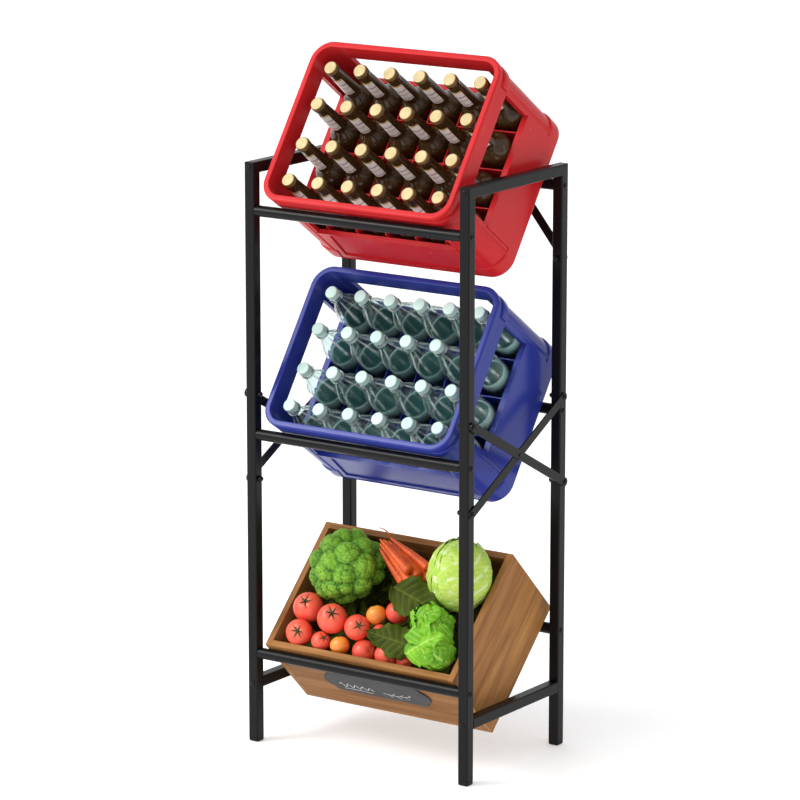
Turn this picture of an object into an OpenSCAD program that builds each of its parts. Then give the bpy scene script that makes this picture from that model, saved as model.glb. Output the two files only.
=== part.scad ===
// Market crate stand: a bolted steel tube frame with three tiers of
// crate bars, two bottle crates and one wooden produce crate leaning
// open end forward on the bars. Millimetres, +Z up, front towards -Y,
// origin on the floor under the middle of the whole stand.

/* [Stand frame] */
// Outer width across the legs
frame_w = 472; // [460:2:500]
// Outer depth across the legs
frame_d = 308; // [304:1:314]
// Height from the floor to the top of the top rails
frame_h = 1050; // [1045:1:1080]
// Side of the square tube
tube = 20; // [19:0.5:21]
// Wall of the square and round tubes
tube_wall = 1.5; // [1.2:0.1:2]
// Corner radius of the square tube
tube_r = 2.5; // [2:0.1:3]
// Height of the plastic feet
foot_h = 7; // [5:0.5:10]
// Height of the bottom rails' centre line
low_rail_z = 109; // [90:1:120]

/* [Crate bars] */
// Diameter of the round crate bars
bar_d = 20; // [18:0.5:20]
// Height of the lowest front bar
bar_z = 164; // [158:1:170]
// Rise from one tier to the next
tier = 400; // [398:1:404]
// Height of each rear bar above its front bar
bar_step = 48; // [46:1:50]

/* [Braces] */
// Width of the flat brace strips
strip_w = 16; // [14:0.5:18]
// Thickness of the flat brace strips
strip_t = 2.5; // [2:0.1:3]
// Height of the lower side brace bolts
brace_z0 = 484; // [478:1:490]
// Height of the upper side brace bolts
brace_z1 = 637; // [632:1:642]
// Height of the rear corner brace bolts on the legs
corner_z = 884; // [870:1:900]
// Distance from the middle to a corner brace's end on the top rear bar
corner_x = 122; // [110:1:140]

/* [Bottle crates] */
// Length of a bottle crate over its corners
crate_l = 400; // [399:0.5:401]
// Width of a bottle crate over its collar
crate_b = 310; // [309:0.5:311]
// Height of a bottle crate
crate_h = 233.5; // [232:0.5:234]
// Lean of the bottle crates from upright
crate_tilt = 55; // [54.8:0.1:55.4]
// Depth of the rim collar's lower edge below the rim
collar_h = 40; // [39:0.5:42]
// Height of the rim lip
rim_h = 13; // [12:0.5:14]
// Height of the corner lobes at the base
base_h = 36; // [32:1:38]
// Depth of the end windows' upper edge below the rim
window_top = 40; // [39:0.5:42]
// Depth of the end windows' lower edge below the rim
window_low = 120; // [118:1:121]
// Depth of the long windows' lower edge below the rim
long_low = 129; // [126:1:130]
// Spacing of the bottle cells along the crate
pitch_u = 62.9; // [62.8:0.1:63]
// Spacing of the bottle cells across the crate
pitch_v = 73.5; // [73:0.1:73.6]

/* [Bottles] */
// Beer bottle diameter
beer_d = 59; // [56:0.5:59]
// Beer bottle height without its crown cap
beer_h = 213.5; // [211:0.5:214]
// Water bottle diameter
water_d = 58; // [56:0.5:58]
// Water bottle height without its screw cap's top
water_h = 213.5; // [211:0.5:214]

/* [Wooden crate] */
// Length of the wooden crate
wood_l = 404; // [402:1:408]
// Width of the wooden crate
wood_b = 264; // [262:1:266]
// Height of the wooden crate
wood_h = 176; // [174:1:178]
// Thickness of the wall boards
board = 12; // [11:0.5:13]
// Lean of the wooden crate from upright
wood_tilt = 45; // [44.5:0.1:45.5]
// Length of the slate plaque
plaque_l = 226; // [200:1:240]
// Height of the slate plaque
plaque_b = 60; // [54:1:62]

/* [Hidden] */
$fn = 64;
seat_gap = 0.3;
lx = frame_w / 2 - tube / 2;
ly = frame_d / 2 - tube / 2;
bar_half = lx - tube / 2;
plug = 14;
bolt_r = 3;
hole_r = 3.2;

// unit vectors of a leaning crate: n runs up its width, a out of its mouth
function nv(t) = [0, cos(t), sin(t)];
function av(t) = [0, -sin(t), cos(t)];
function zf(i) = bar_z + tier * i;
function zr(i) = bar_z + tier * i + bar_step;
// middle of the rim plane of a crate of width b and height h that leans on
// the front and rear bars of tier i
function seat(t, b, h, i) =
    (nv(t) * [0, -ly, zf(i)] + b / 2 + bar_d / 2 + seat_gap) * nv(t)
    + (av(t) * [0, ly, zr(i)] + h + bar_d / 2 + seat_gap) * av(t);

red_c = seat(crate_tilt, crate_b, crate_h, 2);
blue_c = seat(crate_tilt, crate_b, crate_h, 1);
wood_c = seat(wood_tilt, wood_b, wood_h, 0);
// the stand's own middle, front to back, over the crates' reach
y_front = red_c[1] - (crate_b / 2 + 1.5) * cos(crate_tilt);
y_back = red_c[1] + crate_h * sin(crate_tilt) + (crate_b / 2 - 0.5) * cos(crate_tilt);
yo = -(y_front + y_back) / 2;

// crate walls
in_l = crate_l - 25;
in_b = crate_b - 19;
floor_z = 8;
lip_z = crate_h - window_low;
long_z = crate_h - long_low;
div_h = lip_z - 0.5 - floor_z;
// middle of a bottle row; the two middle rows stand a little further apart
function row_v(j) = j * pitch_v + (abs(j) < 1 ? sign(j) * 2.2 : 0);
div_t = 2;

// ---------------------------------------------------------------- helpers

// rectangle with round corners, from squares and circles
module rr(l, b, r) {
    square([l - 2 * r, b], center = true);
    square([l, b - 2 * r], center = true);
    for (sx = [-1, 1], sy = [-1, 1])
        translate([sx * (l / 2 - r), sy * (b / 2 - r)]) circle(r);
}

module tube_section() {
    difference() {
        rr(tube, tube, tube_r);
        rr(tube - 2 * tube_wall, tube - 2 * tube_wall, tube_r - tube_wall);
    }
}

// cylinders along X and Y, from a start point
module cyl_x(p, r, l) { translate(p) rotate([0, 90, 0]) cylinder(r = r, h = l); }
module cyl_y(p, r, l) { translate(p) rotate([-90, 0, 0]) cylinder(r = r, h = l); }

// button head screw along +Z: head below the origin, shank above, hex socket
module button_screw(hr, hh, sr, l) {
    difference() {
        union() {
            rotate_extrude() polygon([[0, -hh], [hr * 0.62, -hh], [hr * 0.88, -hh * 0.72], [hr, -hh * 0.25], [hr, 0], [0, 0]]);
            cylinder(r = sr, h = l);
        }
        translate([0, 0, -hh - 1]) cylinder(r = hr * 0.42, h = 1 + hh * 0.6, $fn = 6);
    }
}

// dome nut along +Z with a blind bore for its bolt
module cap_nut() {
    difference() {
        union() {
            cylinder(r = 5.7, h = 4.2, $fn = 6);
            translate([0, 0, 4.2]) intersection() {
                sphere(r = 4.6);
                translate([-6, -6, 0]) cube([12, 12, 6]);
            }
        }
        translate([0, 0, -1]) cylinder(r = hole_r, h = 6);
    }
}

// stadium strip between two points of a plane, with a hole at each end
module strip2d(p, q) {
    d = q - p;
    l = norm(d);
    translate(p) rotate(atan2(d[1], d[0])) difference() {
        union() {
            translate([0, -strip_w / 2]) square([l, strip_w]);
            circle(strip_w / 2);
            translate([l, 0]) circle(strip_w / 2);
        }
        circle(hole_r);
        translate([l, 0]) circle(hole_r);
    }
}

// ---------------------------------------------------------------- frame

// square tube leg; sy is -1 at the front and 1 at the rear
module leg(sx, sy) {
    color("#262626") translate([sx * lx, sy * ly + yo, 0]) difference() {
        translate([0, 0, foot_h]) linear_extrude(frame_h - foot_h) tube_section();
        // mitre under the top rail
        translate([0, sy * tube / 2, frame_h]) rotate([sy * 45, 0, 0])
            translate([-tube, sy < 0 ? 0 : -60, 0]) cube([2 * tube, 60, 60]);
        // bar bolts and brace bolts, across
        for (i = [0:2])
            cyl_x([-tube, 0, sy < 0 ? zf(i) : zr(i)], hole_r, 2 * tube);
        for (z = [brace_z0, brace_z1]) cyl_x([-tube, 0, z], hole_r, 2 * tube);
        // bottom rail bolt, top rail screw and corner brace bolt, front to back
        cyl_y([0, -tube, low_rail_z], hole_r, 2 * tube);
        cyl_y([0, sy < 0 ? -tube : 0, frame_h - tube / 2], 2.7, tube);
        if (sy > 0) cyl_y([0, -tube, corner_z], hole_r, 2 * tube);
    }
}

module top_rail(sx) {
    color("#262626") translate([sx * lx, yo, 0]) difference() {
        translate([0, frame_d / 2, frame_h - tube / 2]) rotate([90, 0, 0])
            linear_extrude(frame_d) tube_section();
        for (sy = [-1, 1])
            translate([0, sy * frame_d / 2, frame_h]) rotate([sy * 45, 0, 0])
                translate([-tube, sy < 0 ? -20 : -60, -60]) cube([2 * tube, 80, 60]);
        for (sy = [-1, 1])
            cyl_y([0, sy < 0 ? -frame_d / 2 - 1 : frame_d / 2 - tube / 2, frame_h - tube / 2], 2.7, tube / 2 + 1);
    }
}

module bottom_rail(sx) {
    half = ly - tube / 2;
    color("#262626") translate([sx * lx, yo, low_rail_z]) rotate([90, 0, 0]) difference() {
        translate([0, 0, -half]) linear_extrude(2 * half) rr(tube, tube, tube_r);
        translate([0, 0, -half + plug]) linear_extrude(2 * (half - plug))
            rr(tube - 2 * tube_wall, tube - 2 * tube_wall, tube_r - tube_wall);
        translate([0, 0, -half - 1]) cylinder(r = hole_r, h = 2 * half + 2);
    }
}

// round bar with solid threaded ends; inset takes a corner brace bolt
module bar(sy, z, inset = false) {
    color("#222222") translate([0, sy * ly + yo, z]) difference() {
        cyl_x([-bar_half, 0, 0], bar_d / 2, 2 * bar_half);
        cyl_x([-bar_half + plug, 0, 0], bar_d / 2 - tube_wall, 2 * (bar_half - plug));
        cyl_x([-bar_half - 1, 0, 0], hole_r, 2 * bar_half + 2);
        if (inset) for (sx = [-1, 1])
            cyl_y([sx * corner_x, 0, 0], hole_r, tube);
    }
}

// layer 0 lies on the legs, layer 1 over it
module side_brace(sx, rising, layer) {
    x0 = frame_w / 2 + layer * strip_t;
    p = [-ly, rising ? brace_z0 : brace_z1];
    q = [ly, rising ? brace_z1 : brace_z0];
    color("#262626") translate([sx > 0 ? x0 : -x0 - strip_t, yo, 0])
        rotate([90, 0, 90]) linear_extrude(strip_t) difference() {
            strip2d(p, q);
            translate((p + q) / 2) circle(2.6);
        }
}

module corner_brace(sx) {
    color("#262626") translate([0, frame_d / 2 + yo + strip_t, 0]) rotate([90, 0, 0])
        linear_extrude(strip_t) strip2d([sx * lx, corner_z], [sx * corner_x, zr(2)]);
}

module foot() {
    linear_extrude(1.5) rr(tube - 3, tube - 3, tube_r);
    translate([0, 0, 1.5]) linear_extrude(foot_h - 2.3) rr(tube, tube, tube_r + 0.5);
    translate([0, 0, foot_h - 0.8]) linear_extrude(0.8) rr(tube - 1.6, tube - 1.6, tube_r);
    translate([0, 0, foot_h]) linear_extrude(14)
        rr(tube - 2 * tube_wall - 0.4, tube - 2 * tube_wall - 0.4, 1);
}

module feet() {
    color("#1a1a1a") for (sx = [-1, 1], sy = [-1, 1])
        translate([sx * lx, sy * ly + yo, 0]) foot();
}

// L-shaped blocks inside the mitred top corners
module corner_connectors() {
    w = tube - 2 * tube_wall - 0.6;
    color("#1a1a1a") for (sx = [-1, 1], sy = [-1, 1])
        translate([sx * lx, sy * ly + yo, frame_h - tube / 2]) difference() {
            union() {
                translate([-w / 2, -w / 2, -20]) cube([w, w, 20 + w / 2]);
                translate([-w / 2, sy < 0 ? -w / 2 : w / 2 - 46, -w / 2]) cube([w, 46, w]);
            }
            cyl_y([0, sy < 0 ? -tube : -10, 0], 2.7, tube + 10);
        }
}

module bar_bolts() {
    color("#141414") for (sx = [-1, 1], i = [0:2], sy = [-1, 1])
        translate([sx * frame_w / 2, sy * ly + yo, sy < 0 ? zf(i) : zr(i)])
            rotate([0, -sx * 90, 0]) button_screw(4.6, 2.2, bolt_r, tube + 10);
}

module rail_bolts() {
    color("#141414") for (sx = [-1, 1], sy = [-1, 1])
        translate([sx * lx, sy * frame_d / 2 + yo, low_rail_z])
            rotate([sy * 90, 0, 0]) button_screw(4.6, 2.2, bolt_r, tube + 10);
}

module rail_screws() {
    color("#141414") for (sx = [-1, 1], sy = [-1, 1])
        translate([sx * lx, sy * frame_d / 2 + yo, frame_h - tube / 2])
            rotate([sy * 90, 0, 0]) button_screw(4.2, 2, 2.5, tube - 4);
}

// side brace bolts: the falling strip's heads sit one strip further out
module brace_bolts() {
    color("#141414") for (sx = [-1, 1], sy = [-1, 1], up = [0, 1]) {
        rising = (sy < 0 && up == 0) || (sy > 0 && up == 1);
        out = strip_t * (rising ? 1 : 2);
        translate([sx * (frame_w / 2 + out), sy * ly + yo, up == 0 ? brace_z0 : brace_z1])
            rotate([0, -sx * 90, 0]) button_screw(5, 2.6, bolt_r, tube + out + 4);
    }
}

module brace_cap_nuts() {
    color("#2a2a2a") for (sx = [-1, 1], sy = [-1, 1], z = [brace_z0, brace_z1])
        translate([sx * bar_half, sy * ly + yo, z]) rotate([0, -sx * 90, 0]) cap_nut();
}

// washers that carry the falling strips level with the crossing
module brace_spacers() {
    color("#1a1a1a") for (sx = [-1, 1], sy = [-1, 1])
        translate([sx > 0 ? frame_w / 2 : -frame_w / 2 - strip_t, sy * ly + yo, sy < 0 ? brace_z1 : brace_z0])
            rotate([0, 90, 0]) difference() {
                cylinder(r = strip_w / 2, h = strip_t);
                translate([0, 0, -1]) cylinder(r = hole_r, h = strip_t + 2);
            }
}

module brace_rivets() {
    color("#1a1a1a") for (sx = [-1, 1])
        translate([sx * frame_w / 2, yo, (brace_z0 + brace_z1) / 2]) rotate([0, sx * 90, 0])
            rotate_extrude() polygon([[0, -1.6], [2.6, -1.6], [4, -0.4], [4, 0], [2.5, 0], [2.5, 2 * strip_t],
                [4, 2 * strip_t], [4, 2 * strip_t + 0.5], [2.8, 2 * strip_t + 1.7], [0, 2 * strip_t + 1.7]]);
}

module corner_brace_bolts() {
    color("#141414") for (sx = [-1, 1]) {
        translate([sx * lx, frame_d / 2 + strip_t + yo, corner_z])
            rotate([90, 0, 0]) button_screw(5, 2.6, bolt_r, tube + strip_t + 4);
        translate([sx * corner_x, frame_d / 2 + strip_t + yo, zr(2)])
            rotate([90, 0, 0]) button_screw(5, 2.6, bolt_r, 9);
    }
}

module corner_brace_nuts() {
    color("#2a2a2a") for (sx = [-1, 1])
        translate([sx * lx, ly - tube / 2 + yo, corner_z]) rotate([90, 0, 0]) cap_nut();
}

// ---------------------------------------------------------- bottle crates

// puts a crate's own frame (origin under its floor, mouth up) on its bars
module on_bars(c, t, h) {
    translate([0, yo, 0] + c) rotate([t, 0, 0]) translate([0, 0, -h]) children();
}

// section of a collar of width w and height h with its outer face at x = r:
// top outer edge rounded by ro, top inner edge by ri, bottom outer edge by bo
module collar_section(r, w, h, ro, ri, bo) {
    difference() {
        translate([r - w, 0]) square([w, h]);
        translate([r - ro, h - ro]) difference() { square([ro + 1, ro + 1]); circle(ro); }
        translate([r - w - 1, h - ri]) difference() { square([ri + 1, ri + 1]); translate([ri + 1, 0]) circle(ri); }
        translate([r - bo, -1]) difference() { square([bo + 1, bo + 1]); translate([0, bo + 1]) circle(bo); }
    }
}

// carries a section round a rectangle l x b with corner radius r
module sweep_rr(l, b, r) {
    for (k = [0:3]) rotate(k * 90)
        translate([((k % 2 == 0) ? l : b) / 2 - r, ((k % 2 == 0) ? b : l) / 2 - r, 0])
            rotate_extrude(angle = 90) children();
    for (s = [0, 1]) rotate(s * 180) {
        translate([-(l / 2 - r), b / 2 - r, 0]) rotate([90, 0, 90]) linear_extrude(l - 2 * r) children();
        rotate(90) translate([-(b / 2 - r), l / 2 - r, 0]) rotate([90, 0, 90]) linear_extrude(b - 2 * r) children();
    }
}

module crate_shell() {
    wall_l = crate_l - 5.4;
    wall_b = crate_b - 4;
    difference() {
        union() {
            difference() {
                union() {
                    // floor, walls and corner posts
                    translate([0, 0, 2]) linear_extrude(crate_h - 6) rr(wall_l, wall_b, 40);
                    // flush end panels up to the window ledge
                    translate([-crate_l / 2 + 1, -108, base_h - 4]) cube([crate_l - 2, 216, lip_z - base_h + 4]);
                    // shelves under the long windows
                    translate([-150, -crate_b / 2 + 0.5, long_z - 5]) cube([300, crate_b - 1, 5]);
                    // round ribs on the corner posts
                    for (sx = [-1, 1], sy = [-1, 1]) {
                        translate([sx * 154, sy * (wall_b / 2 - 4), base_h - 4]) cylinder(r = 5.5, h = crate_h - base_h - collar_h + 8);
                        translate([sx * (wall_l / 2 - 4), sy * 118, base_h - 4]) cylinder(r = 5.5, h = crate_h - base_h - collar_h + 8);
                    }
                }
                // inside
                translate([0, 0, floor_z]) linear_extrude(crate_h) rr(in_l, in_b, 29);
            }
            // base ring, rim collar and rim lip
            sweep_rr(crate_l - 2, crate_b - 1, 38) collar_section(38, 8, base_h, 4, 0.6, 6);
            translate([0, 0, crate_h - collar_h]) sweep_rr(crate_l + 1, crate_b - 1, 38.8)
                collar_section(38.8, 8, collar_h - rim_h - 5, 4, 0.5, 5);
            translate([0, 0, crate_h - rim_h]) sweep_rr(crate_l - 3, crate_b + 3, 40)
                collar_section(40, 11, rim_h, 3, 1.5, 1.5);
        }
        // windows in the ends and in the long sides
        translate([-crate_l, -105, lip_z]) cube([2 * crate_l, 210, window_low - window_top]);
        translate([-146, -crate_b, long_z]) cube([292, 2 * crate_b, long_low - collar_h]);
        // the collar steps back between its end corners
        for (sx = [-1, 1]) translate([sx * (wall_l / 2 + 10) - 10, -110, crate_h - collar_h - 1]) cube([20, 220, collar_h - rim_h + 1]);
        for (sy = [-1, 1]) {
            // the base ring stays high only at its corner lobes
            translate([0, sy * wall_b / 2 + (sy > 0 ? 20 : 0), 0]) rotate([90, 0, 0]) linear_extrude(20)
                polygon([[-152, 3.5], [152, 3.5], [147, base_h + 1], [-147, base_h + 1]]);
            // sunk panels with slanted ends
            translate([0, sy * (wall_b / 2 - 2) + (sy > 0 ? 2.5 : 0.5), 0]) rotate([90, 0, 0]) linear_extrude(3)
                polygon([[-138, 16], [138, 16], [127, long_z - 7], [-127, long_z - 7]]);
        }
        // drain holes, one under each bottle
        for (i = [-2.5:1:2.5], j = [-1.5:1:1.5])
            translate([i * pitch_u, row_v(j), 0]) cylinder(r = 17, h = floor_z + 1);
    }
}

module long_dividers() {
    for (j = [-1:1]) difference() {
        translate([-in_l / 2 + 0.4, j * pitch_v - div_t / 2, floor_z + 0.05]) cube([in_l - 0.8, div_t, div_h]);
        for (i = [-2:2])
            translate([i * pitch_u - div_t / 2 - 0.15, j * pitch_v - 5, floor_z + div_h / 2])
                cube([div_t + 0.3, 10, div_h]);
    }
}

module cross_dividers() {
    for (i = [-2:2]) difference() {
        translate([i * pitch_u - div_t / 2, -in_b / 2 + 0.4, floor_z + 0.05]) cube([div_t, in_b - 0.8, div_h]);
        for (j = [-1:1])
            translate([i * pitch_u - 5, j * pitch_v - div_t / 2 - 0.15, -1])
                cube([10, div_t + 0.3, floor_z + div_h / 2 + 0.9]);
    }
}

module in_cells() {
    for (i = [-2.5:1:2.5], j = [-1.5:1:1.5])
        translate([i * pitch_u, row_v(j), floor_z + 0.1]) children();
}

// round shoulder from radius r0 at z0 to r1 at z1, in k steps
function dome(r0, z0, r1, z1, k) = [for (i = [0:k]) [r1 + (r0 - r1) * (1 + cos(180 * pow(i / k, 1.6))) / 2, z0 + (z1 - z0) * i / k]];

module beer_bottle() {
    r = beer_d / 2;
    outer = concat([[0, 2], [r - 9, 0], [r - 4, 0], [r - 1, 1.6], [r, 5]],
        dome(r, 104, 14.6, 132, 8), [[12.2, beer_h - 14], [12.9, beer_h - 11], [12.9, beer_h - 8.4], [11.5, beer_h - 7], [11.5, beer_h]]);
    inner = concat([[8.6, beer_h], [9.2, beer_h - 20]],
        [for (i = [0:8]) dome(r - 3, 104, 11.4, 132, 8)[8 - i]], [[r - 3, 9], [r - 8, 5], [0, 7]]);
    rotate_extrude() polygon(concat(outer, inner));
}

module crown_cap() {
    rotate_extrude() polygon([[0, beer_h + 0.1], [11.7, beer_h + 0.1], [11.7, beer_h - 5.6], [13.9, beer_h - 6],
        [12.9, beer_h - 1], [12.2, beer_h + 1], [11, beer_h + 1.8], [0, beer_h + 1.8]]);
}

module water_bottle() {
    r = water_d / 2;
    outer = concat([[0, 4], [10, 1], [r - 8, 0], [r - 3, 1.2], [r, 6], [r, 46], [r - 1.4, 49], [r - 1.4, 53], [r, 56]],
        dome(r, 124, 11, 192, 9), [[11, 194], [13.4, 195], [13.4, 197.5], [10.4, 198.5], [10.4, water_h]]);
    inner = concat([[8.8, water_h], [8.8, 196]],
        [for (i = [0:9]) dome(r - 1.6, 124, 9.4, 192, 9)[9 - i]], [[r - 1.6, 7], [r - 6, 3], [0, 6]]);
    rotate_extrude() polygon(concat(outer, inner));
}

module screw_cap() {
    rotate_extrude() polygon([[0, water_h + 0.1], [10.7, water_h + 0.1], [10.7, water_h - 10], [12.2, water_h - 10],
        [12, water_h + 0.6], [10.8, water_h + 2], [0, water_h + 2]]);
}

module red_crate_shell() { color("#c8282d") on_bars(red_c, crate_tilt, crate_h) crate_shell(); }
module red_long_dividers() { color("#b82529") on_bars(red_c, crate_tilt, crate_h) long_dividers(); }
module red_cross_dividers() { color("#b82529") on_bars(red_c, crate_tilt, crate_h) cross_dividers(); }
module beer_bottles() { color("#3a2415") on_bars(red_c, crate_tilt, crate_h) in_cells() beer_bottle(); }
module crown_caps() { color("#e6cf86") on_bars(red_c, crate_tilt, crate_h) in_cells() crown_cap(); }
module blue_crate_shell() { color("#2d328c") on_bars(blue_c, crate_tilt, crate_h) crate_shell(); }
module blue_long_dividers() { color("#2a2e80") on_bars(blue_c, crate_tilt, crate_h) long_dividers(); }
module blue_cross_dividers() { color("#2a2e80") on_bars(blue_c, crate_tilt, crate_h) cross_dividers(); }
module water_bottles() { color("#5f8f86") on_bars(blue_c, crate_tilt, crate_h) in_cells() water_bottle(); }
module screw_caps() { color("#dff2ea") on_bars(blue_c, crate_tilt, crate_h) in_cells() screw_cap(); }

// ------------------------------------------------------------ wooden crate

brad_z = [28, wood_h / 2, wood_h - 28];
module brad_holes(r) {
    for (sx = [-1, 1], sy = [-1, 1], z = brad_z)
        cyl_x([sx > 0 ? wood_l / 2 - 32 : -wood_l / 2 - 1, sy * (wood_b / 2 - board / 2), z], r, 33);
}

module in_wood() { on_bars(wood_c, wood_tilt, wood_h) children(); }

module long_board(sy) {
    color("#96694a") in_wood() difference() {
        translate([-wood_l / 2 + board, sy > 0 ? wood_b / 2 - board : -wood_b / 2, 0])
            cube([wood_l - 2 * board, board, wood_h]);
        brad_holes(1.1);
    }
}

module end_board(sx) {
    color("#96694a") in_wood() difference() {
        translate([sx > 0 ? wood_l / 2 - board : -wood_l / 2, -wood_b / 2, 0]) cube([board, wood_b, wood_h]);
        brad_holes(1.1);
    }
}

module wood_base_board() {
    color("#8a6044") in_wood() translate([-wood_l / 2 + board, -wood_b / 2 + board, 2])
        cube([wood_l - 2 * board, wood_b - 2 * board, 10]);
}

module crate_brads() {
    color("#8d8578") in_wood() for (sx = [-1, 1], sy = [-1, 1], z = brad_z)
        cyl_x([sx > 0 ? wood_l / 2 - 30 : -wood_l / 2, sy * (wood_b / 2 - board / 2), z], 1, 30);
}

module slate_plaque() {
    color("#48484a") in_wood() translate([0, -wood_b / 2, wood_h - 87]) rotate([90, 0, 0])
        linear_extrude(3) {
            rr(plaque_l - 26, plaque_b, 9);
            rr(plaque_l, plaque_b - 20, 19);
        }
}

// Produce, placed as [along, across, depth below the rim, radius]
module at_rim(p) { translate([p[0], p[1], wood_h - p[2]]) children(); }

module produce_bed() {
    l = wood_l / 2 - board - 1;
    b = wood_b / 2 - board - 1;
    color("#3f6b2a") in_wood() translate([0, 0, 12.2]) {
        translate([-l, -b, 0]) cube([2 * l, 2 * b, wood_h - 12.2 - 70]);
        translate([-l, -b, 0]) cube([2 * l, b - 16, wood_h - 12.2 - 46]);
        translate([-36, -78, 0]) cube([l + 36, b + 78, wood_h - 12.2 - 37]);
    }
}

module broccoli() {
    color("#5aa032") in_wood() at_rim([-110, 43, 0]) sphere(r = 68);
}

module cabbage() {
    color("#c8e678") in_wood() {
        at_rim([138, 66, -32]) sphere(r = 58);
        at_rim([130, 44, -10]) sphere(r = 46);
    }
}

module lettuces() {
    color("#5ab432") in_wood() {
        at_rim([124, -38, -16]) sphere(r = 34);
        at_rim([150, -87, -6]) sphere(r = 31);
    }
}

// tapered roots in a loose bundle: each from its thick end to its point, as
// [across the bundle, start along it, height over the rim at both ends]
carrot_at = [[0, 0, 2, 24], [20, 46, 2, 26], [40, 30, 3, 26], [10, 20, 20, 34], [30, 10, 20, 36], [20, -10, 37, 42], [51, 4, 16, 30]];
module carrots() {
    color("#dc5014") in_wood() for (c = carrot_at)
        root([18 + 0.6 * c[0] + 0.8 * c[1], 36 + 0.8 * c[0] - 0.6 * c[1], c[2]],
            [-50 + 0.3 * c[0], 86 + 0.4 * c[0], c[3]]);
}
module root(p, q) {
    d = q - p;
    at_rim([p[0], p[1], -p[2]]) rotate([0, acos(d[2] / norm(d)), atan2(d[1], d[0])])
        cylinder(r1 = 10, r2 = 2.5, h = norm(d));
}

red_tomato_at = [[-150, -45, -2, 27], [-85, -62, -10, 26], [-33, -66, -2, 22], [-145, -96, 0, 23],
    [-99, -101, 8, 17], [-15, -98, 24, 21], [36, -98, 20, 21], [8, -60, 8, 12], [31, -22, 0, 20], [73, -101, 26, 15]];
orange_tomato_at = [[-8, -34, 0, 18], [-59, -101, 10, 17]];

module red_tomatoes() {
    color("#eb5a4b") in_wood() for (t = red_tomato_at) at_rim(t) sphere(r = t[3]);
}

module orange_tomatoes() {
    color("#f09b4b") in_wood() for (t = orange_tomato_at) at_rim(t) sphere(r = t[3]);
}

module loose_leaves() {
    color("#3f7a28") in_wood() {
        at_rim([62, -6, -34]) rotate([0, 0, -26]) linear_extrude(2) rr(66, 46, 19);
        at_rim([54, -80, -9]) rotate([0, 0, 10]) linear_extrude(2) rr(70, 40, 16);
    }
}

// ------------------------------------------------------------ node modules

module left_front_leg() { leg(-1, -1); }
module right_front_leg() { leg(1, -1); }
module left_rear_leg() { leg(-1, 1); }
module right_rear_leg() { leg(1, 1); }
module left_top_rail() { top_rail(-1); }
module right_top_rail() { top_rail(1); }
module left_bottom_rail() { bottom_rail(-1); }
module right_bottom_rail() { bottom_rail(1); }
module top_front_bar() { bar(-1, zf(2)); }
module middle_front_bar() { bar(-1, zf(1)); }
module bottom_front_bar() { bar(-1, zf(0)); }
module top_rear_bar() { bar(1, zr(2), true); }
module middle_rear_bar() { bar(1, zr(1)); }
module bottom_rear_bar() { bar(1, zr(0)); }
module left_rising_brace() { side_brace(-1, true, 0); }
module left_falling_brace() { side_brace(-1, false, 1); }
module right_rising_brace() { side_brace(1, true, 0); }
module right_falling_brace() { side_brace(1, false, 1); }
module left_corner_brace() { corner_brace(-1); }
module right_corner_brace() { corner_brace(1); }
module wood_front_board() { long_board(-1); }
module wood_back_board() { long_board(1); }
module wood_left_board() { end_board(-1); }
module wood_right_board() { end_board(1); }

left_front_leg();
right_front_leg();
left_rear_leg();
right_rear_leg();
left_top_rail();
right_top_rail();
left_bottom_rail();
right_bottom_rail();
top_front_bar();
middle_front_bar();
bottom_front_bar();
top_rear_bar();
middle_rear_bar();
bottom_rear_bar();
left_rising_brace();
left_falling_brace();
right_rising_brace();
right_falling_brace();
left_corner_brace();
right_corner_brace();
feet();
corner_connectors();
bar_bolts();
rail_bolts();
rail_screws();
brace_bolts();
brace_cap_nuts();
brace_spacers();
brace_rivets();
corner_brace_bolts();
corner_brace_nuts();
red_crate_shell();
red_long_dividers();
red_cross_dividers();
beer_bottles();
crown_caps();
blue_crate_shell();
blue_long_dividers();
blue_cross_dividers();
water_bottles();
screw_caps();
wood_front_board();
wood_back_board();
wood_left_board();
wood_right_board();
wood_base_board();
crate_brads();
slate_plaque();
produce_bed();
broccoli();
cabbage();
lettuces();
carrots();
red_tomatoes();
orange_tomatoes();
loose_leaves();
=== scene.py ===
import math

import bmesh
import bpy
import numpy as np
from mathutils import Matrix, Vector


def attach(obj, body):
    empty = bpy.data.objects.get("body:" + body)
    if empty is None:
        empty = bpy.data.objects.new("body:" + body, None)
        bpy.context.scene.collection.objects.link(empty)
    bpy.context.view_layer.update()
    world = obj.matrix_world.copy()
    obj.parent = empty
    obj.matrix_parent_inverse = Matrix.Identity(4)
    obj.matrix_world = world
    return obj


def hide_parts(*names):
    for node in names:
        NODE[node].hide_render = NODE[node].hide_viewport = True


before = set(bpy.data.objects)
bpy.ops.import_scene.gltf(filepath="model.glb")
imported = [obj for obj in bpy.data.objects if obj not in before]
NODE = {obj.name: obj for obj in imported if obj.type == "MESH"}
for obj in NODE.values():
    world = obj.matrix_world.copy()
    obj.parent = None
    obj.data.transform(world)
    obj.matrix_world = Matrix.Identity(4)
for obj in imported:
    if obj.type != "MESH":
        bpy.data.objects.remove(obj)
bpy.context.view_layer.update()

scene = bpy.context.scene
MM = 0.001

# ------------------------------------------------------------------ crate frames

LY, BAR_R, GAP = 144.0, 10.0, 0.3  # bar spacing, bar radius and seat gap, mm
TILT, CRATE_B, CRATE_H = 55.0, 310.0, 233.5


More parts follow.
